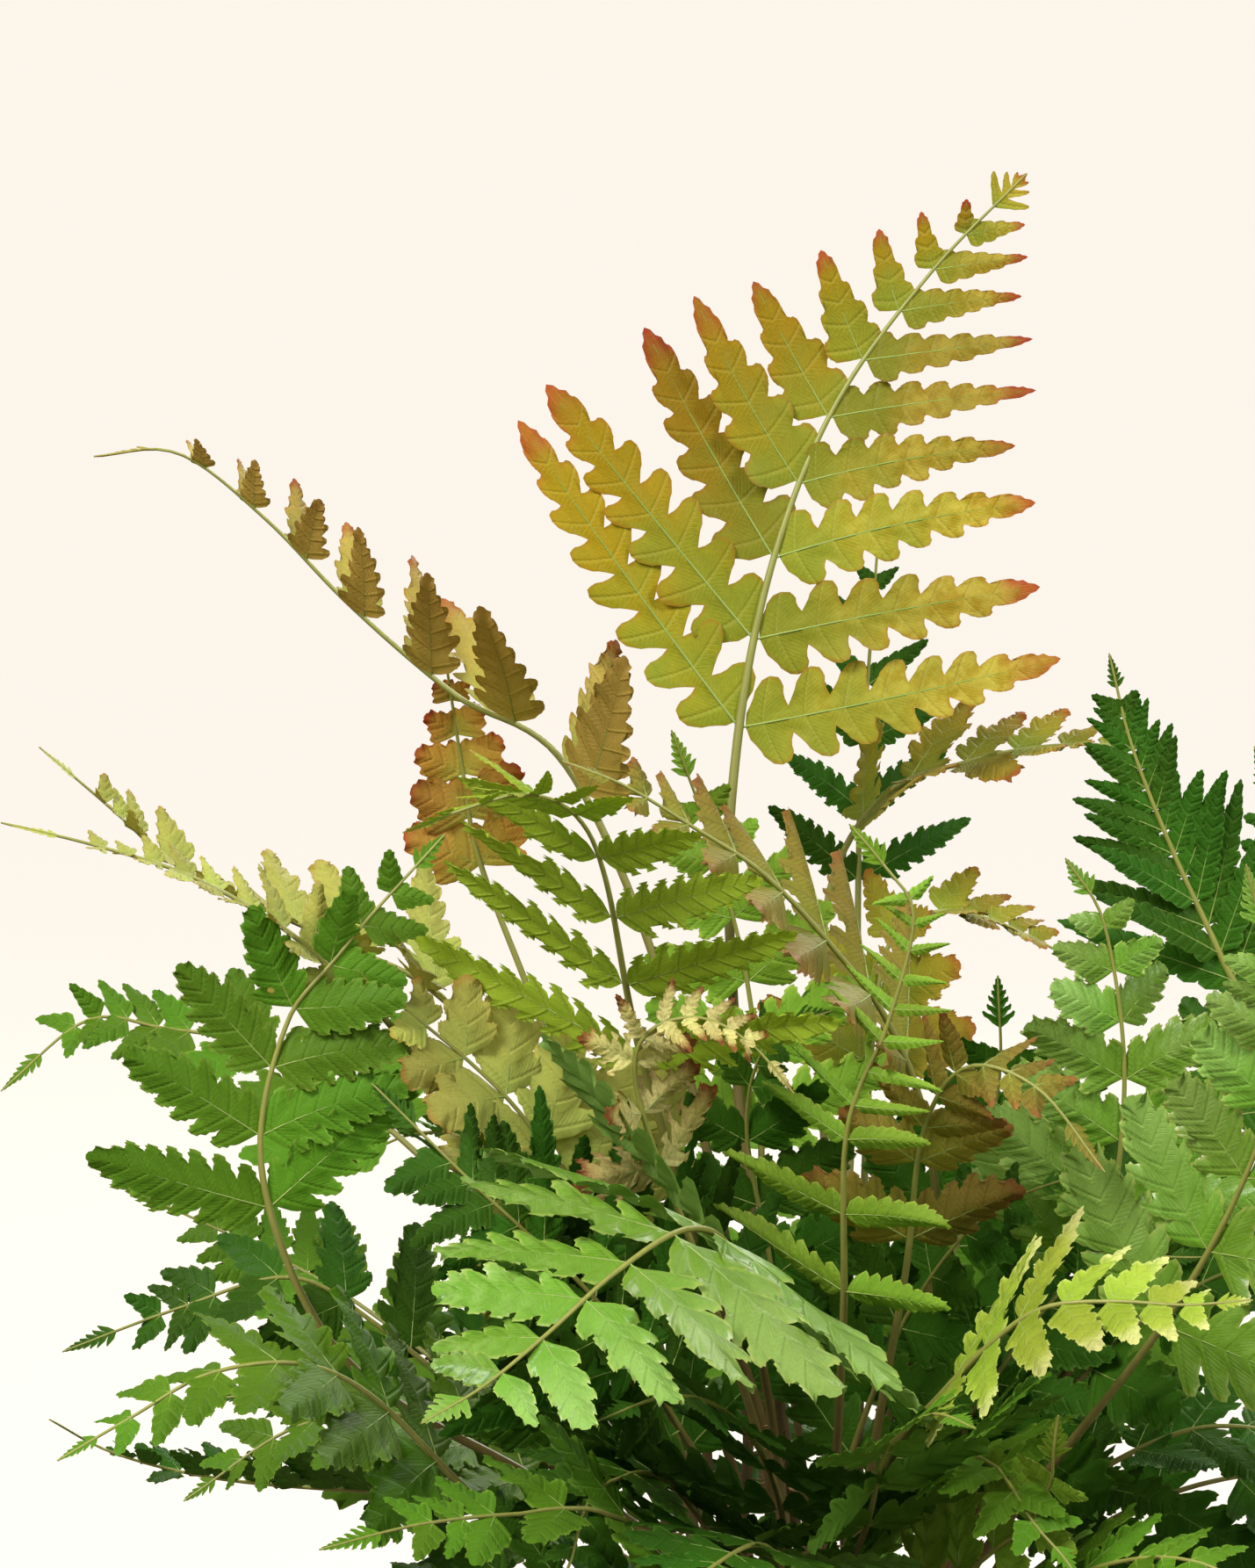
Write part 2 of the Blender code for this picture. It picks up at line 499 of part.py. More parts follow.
def rib_lines():
    """The centre line of each frond, straight in its socket, with the lines eased apart."""
    lines = []
    for place, spec in zip(place_stalks(), ALL_FRONDS.values()):
        base = np.array([*place, SOCKET_BOTTOM])
        lean = unit(np.array([*(place / SPLAY_DEPTH), 1.0]))
        lines.append(smooth_line([base, base + lean * STRAIGHT, *spec[-1]]))
        held = np.linalg.norm(lines[-1] - base, axis=1) < STRAIGHT + 0.5
        along = np.linalg.norm(lines[-1][held] - base, axis=1)
        lines[-1][held] = base + lean * along[:, None]
    owner = np.concatenate([np.full(len(line), k) for k, line in enumerate(lines)])
    step = np.concatenate([np.arange(len(line)) for line in lines])
    starts = np.concatenate([[0], np.cumsum([len(line) for line in lines])])
    points = np.vstack(lines)
    free = np.clip((step * SAMPLE - STRAIGHT - 1) / FREE_LENGTH, 0, 1)
    kernel = np.array([1, 2, 3, 4, 5, 6, 5, 4, 3, 2, 1], float)
    kernel /= kernel.max()
    for _ in range(PUSH_ROUNDS):
        tree = KDTree(len(points))
        for k, point in enumerate(points):
            tree.insert(point, k)
        tree.balance()
        push = np.zeros_like(points)
        for k, point in enumerate(points):
            if free[k] == 0:
                continue
            wanted = FOOT_CLEARANCE + (LINE_CLEARANCE - FOOT_CLEARANCE) * free[k]
            for _, other, distance in tree.find_range(point, wanted):
                if owner[other] != owner[k]:
                    push[k] += unit(point - points[other]) * (wanted - distance) * PUSH_SHARE
        if not push.any():
            break
        for first, last in zip(starts, starts[1:]):
            for axis in range(3):
                eased = np.convolve(push[first:last, axis], kernel, mode="same")
                push[first:last, axis] = np.clip(eased, -PUSH_LIMIT, PUSH_LIMIT)
        points = points + push * free[:, None]
    return [points[first:last] for first, last in zip(starts, starts[1:])]


class Rib:
    """A centre line with its upper side's direction, read by distance along it."""

    def __init__(self, line, facing):
        self.line = line
        steps = np.linalg.norm(np.diff(line, axis=0), axis=1)
        self.reached = np.concatenate([[0], np.cumsum(steps)])
        self.length = self.reached[-1]
        self.facing = np.array(facing, float)

    def point(self, distance):
        return np.array([np.interp(distance, self.reached, self.line[:, axis]) for axis in range(3)])

    def frame(self, distance):
        """(along, upper side, left side) at a distance."""
        near = min(distance, self.length - 1.0)
        step = 1.0 if near < SOCKET_LENGTH else 4.0
        along = unit(self.point(min(near + step, self.length)) - self.point(max(near - step, 0)))
        normal = unit(self.facing - along * self.facing.dot(along))
        return along, normal, np.cross(normal, along)


def lobe_places(lobes):
    """Shares of the length where the lobes peak and where the notches between them lie."""
    peaks = [(k + 0.36) / (lobes + 0.2) + 0.03 for k in range(lobes)]
    notches = [0.5 * (a + b) + 0.02 for a, b in zip(peaks, peaks[1:])]
    return peaks, notches


def half_width(share):
    """A leaflet's half width along its length, as a share of its widest."""
    return (1 - share ** 1.7) ** 0.85


class Leaflet:
    """A lobed blade, thin at its outline and thicker along its rib, on a four-cornered root."""

    def __init__(self, root, middle, length, along, width_way, droop, sweep, roll,
                 width, lobes, wave, path=None):
        self.root = root
        self.length = length
        peaks, notches = lobe_places(lobes)
        self.lobes = lobes

        def at(share):
            if path is not None:
                return path(share)
            centre = middle + length * (along * share + (sweep + droop) * share ** 2)
            ahead = unit(along + 2 * sweep * share + 2 * droop * share)
            outward = unit(width_way - ahead * width_way.dot(ahead))
            normal = np.cross(ahead, outward)
            turn = roll * share
            return centre, ahead, outward * math.cos(turn) + normal * math.sin(turn), (
                normal * math.cos(turn) - outward * math.sin(turn))

        self.ridge = []
        for share in notches:
            centre, _, _, normal = at(share)
            self.ridge.append((centre, normal * RIDGE * (1 - 0.35 * share)))
        self.edges = []
        for sign, waves in ((1, wave[0]), (-1, wave[1])):
            edge = []
            for k, peak in enumerate(peaks):
                centre, ahead, outward, normal = at(peak)
                reach = width * half_width(peak)
                edge.append(centre + outward * sign * reach + normal * reach * waves[k])
                if k < len(notches):
                    centre, ahead, outward, normal = at(notches[k])
                    edge.append(centre + outward * sign * NOTCH * width * half_width(notches[k]))
            self.edges.append(edge)
        self.tip = at(1.0)[0]
        self.normal = at(0.3)[3]

    def faces(self, top_root, low_root, first, last, points):
        """Adds the points after the root and returns the faces, alike above and below."""
        ridge_top = [top_root]
        ridge_low = [low_root]
        for centre, rise in self.ridge:
            ridge_top.append(len(points))
            points.append(centre + rise)
            ridge_low.append(len(points))
            points.append(centre - rise)
        borders = []
        for edge, corner in zip(self.edges, (first, last)):
            border = [corner]
            for point in edge:
                border.append(len(points))
                points.append(point)
            borders.append(border)
        tip = len(points)
        points.append(self.tip)
        faces = []
        for ridge, border, turned_over in (
                (ridge_top, borders[0], False), (ridge_top, borders[1], True),
                (ridge_low, borders[0], True), (ridge_low, borders[1], False)):
            for k in range(self.lobes):
                notch, peak = border[2 * k], border[2 * k + 1]
                ahead = ridge[k + 1] if k + 1 < len(ridge) else tip
                side = [(ridge[k], peak, notch), (ridge[k], ahead, peak)]
                if k + 1 < len(ridge):
                    side.append((ahead, border[2 * k + 2], peak))
                faces += [face[::-1] if turned_over else face for face in side]
        return faces

    def hull(self, margin):
        """The leaflet with both faces moved outward, to keep others at a distance."""
        points = list(self.root)
        faces = self.faces(1, 3, 0, 2, points)
        lift = self.normal * margin
        count = len(points)
        both = [point + lift for point in points] + [point - lift for point in points]
        walls = []
        for border in self.outline(count):
            for a, b in zip(border, border[1:]):
                walls.append((a, b, b + count))
                walls.append((a, b + count, a + count))
        half = len(faces) // 2
        low = [tuple(corner + count for corner in face) for face in faces[half:]]
        return both, faces[:half] + low + walls

    def outline(self, count):
        """The points along both edges, from the root to the tip."""
        ridges = 2 * len(self.ridge)
        per_edge = len(self.edges[0])
        first = [0] + [4 + ridges + k for k in range(per_edge)] + [count - 1]
        last = [2] + [4 + ridges + per_edge + k for k in range(per_edge)] + [count - 1]
        return first, last


class Space:
    """What is already placed, asked whether a new piece would touch it."""

    def __init__(self):
        self.trees = []
        self.low = []
        self.high = []

    def add(self, points, faces):
        points = np.array(points)
        self.trees.append(BVHTree.FromPolygons([Vector(p) for p in points], faces, all_triangles=True))
        self.low.append(points.min(axis=0))
        self.high.append(points.max(axis=0))

    def touches(self, points, faces, skip=()):
        points = np.array(points)
        low = points.min(axis=0)
        high = points.max(axis=0)
        near = np.flatnonzero(
            (np.array(self.low) < high).all(axis=1) & (np.array(self.high) > low).all(axis=1))
        near = [k for k in near if k not in skip]
        if not near:
            return False
        tree = BVHTree.FromPolygons([Vector(p) for p in points], faces, all_triangles=True)
        return any(tree.overlap(self.trees[k]) for k in near)


class Frond:
    """Stations along a rib, with a leaflet on each side between them and one at the tip."""

    def __init__(self, name, index, line):
        (self.colour, self.pairs, self.longest, self.bare, self.fold, self.angle,
         facing, _) = ALL_FRONDS[name]
        self.name = name
        self.random = random.Random(SEED + index)
        self.rib = Rib(line, facing)
        blade = self.rib.length * (1 - self.bare)
        start = self.rib.length * self.bare
        foot = SOCKET_LENGTH - 1
        stalk = [foot + (start - foot) * k / STALK_STEPS for k in range(STALK_STEPS)]
        self.shares = [
            1 - (1 - k / (self.pairs + TAIL_PAIRS)) ** CROWDING for k in range(self.pairs + 1)]
        self.stations = [0.0] + stalk + [start + blade * share for share in self.shares]
        self.first_pair = len(stalk) + 1
        self.rings = [self.ring(distance) for distance in self.stations]
        self.leaflets = {}

    def radius(self, distance):
        """The stalk's or rib's radius, thinning first to the blade and then to the tip."""
        start = self.rib.length * self.bare
        if distance <= start:
            share = max(0.0, (distance - SOCKET_LENGTH) / (start - SOCKET_LENGTH))
            return STALK_RADIUS + (RIB_RADIUS - STALK_RADIUS) * share
        share = (distance - start) / (self.rib.length - start)
        return RIB_RADIUS + (TIP_RADIUS - RIB_RADIUS) * share

    def ring(self, distance):
        """Upper, left, lower and right corner."""
        centre = self.rib.point(distance)
        _, normal, side = self.rib.frame(distance)
        radius = self.radius(distance)
        return [centre + normal * radius, centre + side * radius,
                centre - normal * radius, centre - side * radius]

    def tube(self, margin=0.0):
        points = []
        faces = []
        for distance, ring in zip(self.stations, self.rings):
            centre = self.rib.point(distance)
            points += [corner + unit(corner - centre) * margin for corner in ring]
        points.append(self.rib.point(self.rib.length))
        for k in range(len(self.rings)):
            for corner in range(4):
                after = (corner + 1) % 4
                a, b = 4 * k + corner, 4 * k + after
                if k + 1 < len(self.rings):
                    faces += [(a, a + 4, b + 4), (a, b + 4, b)]
                else:
                    faces.append((a, len(points) - 1, b))
        return points, faces

    def root(self, pair, side, length):
        """Near corner, upper, far corner and lower point of a leaflet's root, with its middle."""
        here = self.rings[self.first_pair + pair]
        ahead = self.rings[self.first_pair + pair + 1]
        corner = 1 if side > 0 else 3
        spacing = np.linalg.norm(ahead[corner] - here[corner])
        far = ahead[corner]
        if length >= NECKED_LEAFLET:
            far = here[corner] + (far - here[corner]) * NECK / spacing
        return here[corner], here[0], far, here[2], 0.5 * (here[0] + here[2]), spacing

    def leaflet(self, pair, side, habits, fold_more, swing, share_of_length):
        """The leaflet of a pair on the left (side 1) or right (side -1)."""
        share = self.shares[pair]
        most, taper = SIDE_TAPERS.get(self.name, ((1.0, TAPER),) * 2)[side < 0]
        length = self.longest * most * (1 - share) ** taper * share_of_length * habits["length"]
        near, upper, far, lower, middle, spacing = self.root(pair, side, length)
        distance = self.stations[self.first_pair + pair]
        along, normal, left = self.rib.frame(distance)
        first, last = SIDE_ANGLES.get(self.name, ((self.angle, self.angle - ANGLE_LOSS),) * 2)[side < 0]
        angle = math.radians(first + (last - first) * share + swing + habits["swing"])
        fold = math.radians(self.fold + fold_more + habits["fold"])
        outward = left * side
        hang = SIDE_DROOPS.get(self.name, (DROOP, DROOP))[side < 0] + habits["droop"]
        way = (outward * math.cos(fold) + normal * math.sin(fold)) * math.sin(angle) + along * math.cos(angle)
        lobes = LOBES.get(self.name, PLAIN_LOBES)
        if length < SMALL_LEAFLET or self.name in PLAINEST:
            lobes = 1
        elif length < 2 * SMALL_LEAFLET:
            lobes = min(lobes, 2)
        width = min(LEAST_HALF_WIDTH + HALF_WIDTH_SHARE * length,
                    SPACING_SHARE * spacing * math.sin(angle), SLIMNESS * length)
        # The first edge lies towards the stalk on the left and towards the tip on the right.
        corners = (near, upper, far, lower) if side > 0 else (far, upper, near, lower)
        width_way = -along * side
        return Leaflet(
            corners, middle, length, way, width_way,
            np.array([0, 0, -hang]), along * habits["sweep"], habits["roll"],
            width, lobes, habits["waves"])

    def habits(self):
        """A leaflet's small differences from its neighbours."""
        draw = self.random.uniform
        return {
            "swing": draw(-4, 4), "fold": draw(-7, 7), "length": draw(0.92, 1.04),
            "droop": draw(-0.06, 0.06), "sweep": draw(0.0, 0.12), "roll": draw(-0.35, 0.35),
            "waves": [[draw(-0.3, 0.3) for _ in range(3)] for _ in range(2)],
        }

    def grow(self, space):
        """Finds each leaflet a clear way and keeps it, or leaves it off."""
        for pair in range(self.pairs):
            for side in (1, -1):
                habits = self.habits()
                for fold, swing, share in WAYS_CLEAR:
                    made = self.leaflet(pair, side, habits, fold, swing, share)
                    if not space.touches(*made.hull(LEAF_CLEARANCE), skip=(self.own_tube,)):
                        self.leaflets[pair, side] = made
                        space.add(*made.hull(0.0))
                        break

    def end_leaflet(self):
        """The lobed end of the frond, which follows the rib."""
        start = self.stations[-1]
        left = self.rib.length - start
        ring = self.rings[-1]

        def path(share):
            distance = start + left * share
            along, normal, side = self.rib.frame(distance)
            return self.rib.point(distance), along, side, normal

        lobes = 2 if left > TWO_LOBED_END else 1
        return Leaflet(
            (ring[1], ring[0], ring[3], ring[2]), None, left, None, None,
            None, None, 0, min(END_SHARE * left, END_HALF_WIDTH), lobes, [[0.0] * 3] * 2, path)

    def mesh(self):
        """One closed body: the stalk and rib with every kept leaflet grown out of it."""
        points = [corner for ring in self.rings for corner in ring]
        faces = [(0, 1, 2), (0, 2, 3)]
        for k in range(len(self.rings) - 1):
            top, left, low, right = range(4 * k, 4 * k + 4)
            pair = k - self.first_pair
            for corner, side in ((left, 1), (right, -1)):
                wanted = []
                made = self.leaflets.get((pair, side)) if pair >= 0 else None
                if made is None:
                    wanted += [(top, top + 4, corner + 4), (top, corner + 4, corner)]
                    wanted += [(corner, corner + 4, low + 4), (corner, low + 4, low)]
                else:
                    far = corner + 4
                    if made.length >= NECKED_LEAFLET:
                        far = len(points)
                        points.append(made.root[2 if side > 0 else 0])
                        wanted += [(far, top + 4, corner + 4), (low + 4, far, corner + 4)]
                    wanted += [(top, top + 4, far), (low, far, low + 4)]
                    corners = (corner, far) if side > 0 else (far, corner)
                    faces += made.faces(top, low, *corners, points)
                faces += wanted if side > 0 else [face[::-1] for face in wanted]
        end = 4 * (len(self.rings) - 1)
        faces += self.end_leaflet().faces(end, end + 2, end + 1, end + 3, points)
        return points, faces


def triangles(faces):
    """Flat faces of any size split into fans."""
    made = []
    for face in faces:
        made += [(face[0], face[k], face[k + 1]) for k in range(1, len(face) - 1)]
    return made


def build_fronds():
    """Grows the fronds in the table's order, each clear of what is already there."""
    fronds = [
        Frond(name, index, line)
        for index, (name, line) in enumerate(zip(ALL_FRONDS, rib_lines()))]
    space = Space()
    points, faces = turned(pot_profile(), POT_SIDES)
    space.add(points, triangles(faces))
    for number, frond in enumerate(fronds):
        frond.own_tube = number + 1
        space.add(*frond.tube(TUBE_CLEARANCE))
    for frond in fronds:
        space.add(*frond.end_leaflet().hull(0.0))
    for frond in fronds:
        frond.grow(space)
    for frond in fronds:
        points, faces = frond.mesh()
        add_object(frond.name, points, faces, material(frond.name + "_leaf", frond.colour, 0.5), 50)
    return fronds


def main():
    clear_scene()
    build_pot()
    build_soil()
    build_rootstock(build_fronds())


main()
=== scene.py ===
import math
import random

import bmesh
import bpy
import numpy as np
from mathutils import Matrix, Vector
from mathutils.bvhtree import BVHTree
from mathutils.kdtree import KDTree


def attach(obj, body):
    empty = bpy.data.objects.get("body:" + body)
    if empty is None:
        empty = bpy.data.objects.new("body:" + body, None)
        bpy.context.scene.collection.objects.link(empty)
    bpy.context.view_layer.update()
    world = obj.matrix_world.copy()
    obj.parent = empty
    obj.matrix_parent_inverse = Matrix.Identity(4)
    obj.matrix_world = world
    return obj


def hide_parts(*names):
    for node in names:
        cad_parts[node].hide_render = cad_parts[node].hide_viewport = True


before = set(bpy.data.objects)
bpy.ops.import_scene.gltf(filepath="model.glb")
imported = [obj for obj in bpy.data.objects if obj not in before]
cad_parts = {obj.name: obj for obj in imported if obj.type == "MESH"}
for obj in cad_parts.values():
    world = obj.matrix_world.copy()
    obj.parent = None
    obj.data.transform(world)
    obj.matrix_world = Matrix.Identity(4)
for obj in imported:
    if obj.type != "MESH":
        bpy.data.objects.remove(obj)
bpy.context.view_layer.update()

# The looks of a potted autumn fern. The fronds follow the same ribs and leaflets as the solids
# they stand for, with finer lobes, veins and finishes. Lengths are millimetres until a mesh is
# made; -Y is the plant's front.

MM = 0.001
SEED = 41
GAP = 0.3

# Pot
POT_HEIGHT = 145.0
POT_BASE_RADIUS = 55.0
POT_WALL_TOP_RADIUS = 75.5
RIM_RADIUS = 80.0
RIM_BASE_RADIUS = 77.5
RIM_HEIGHT = 24.0
WALL = 6.0
FLOOR = 8.0
DRAIN_RADIUS = 5.5
DRAIN_RING = 29.0
DRAIN_COUNT = 4

# Compost and rootstock
SOIL_TOP = 127.0
SOIL_DOME = 2.0
ROOT_RADIUS = 42.5
ROOT_BOTTOM = 104.0
ROOT_TOP = 134.0
ROOT_DOME = 7.0
SOCKET_BOTTOM = 121.0
SOCKET_LENGTH = 15.0

# How the stalks stand in the rootstock
CROWN_SPREAD = 29.0
LOW_RING = 34.5
CROWN_HEART = 5.0
STALK_PITCH = 7.6
FULL_REACH = 260.0
SPLAY_DEPTH = 90.0
SPREAD_ROUNDS = 600

# How the ribs' lines are eased apart
STRAIGHT = 18.0
FREE_LENGTH = 30.0
FOOT_CLEARANCE = 4.7
LINE_CLEARANCE = 6.0
PUSH_SHARE = 0.35
PUSH_LIMIT = 1.2
PUSH_ROUNDS = 60

# Stalks, ribs and leaflets of the solids
STALK_RADIUS = 2.0
RIB_RADIUS = 1.2
TIP_RADIUS = 0.55
STALK_STEPS = 4
SAMPLE = 3.0
TUBE_CLEARANCE = 0.2
LEAF_CLEARANCE = 0.45
CROWDING = 1.6
TAIL_PAIRS = 2.2
TAPER = 0.9
RIDGE = 0.65
LEAST_HALF_WIDTH = 4.0
HALF_WIDTH_SHARE = 0.085
SPACING_SHARE = 0.52
SLIMNESS = 0.32
NOTCH = 0.6
ANGLE_LOSS = 8
SMALL_LEAFLET = 19.0
NECKED_LEAFLET = 33.0
NECK = 4.5
END_SHARE = 0.3
END_HALF_WIDTH = 3.6
TWO_LOBED_END = 9.0

TOP = (0.0, -0.75, 0.85)

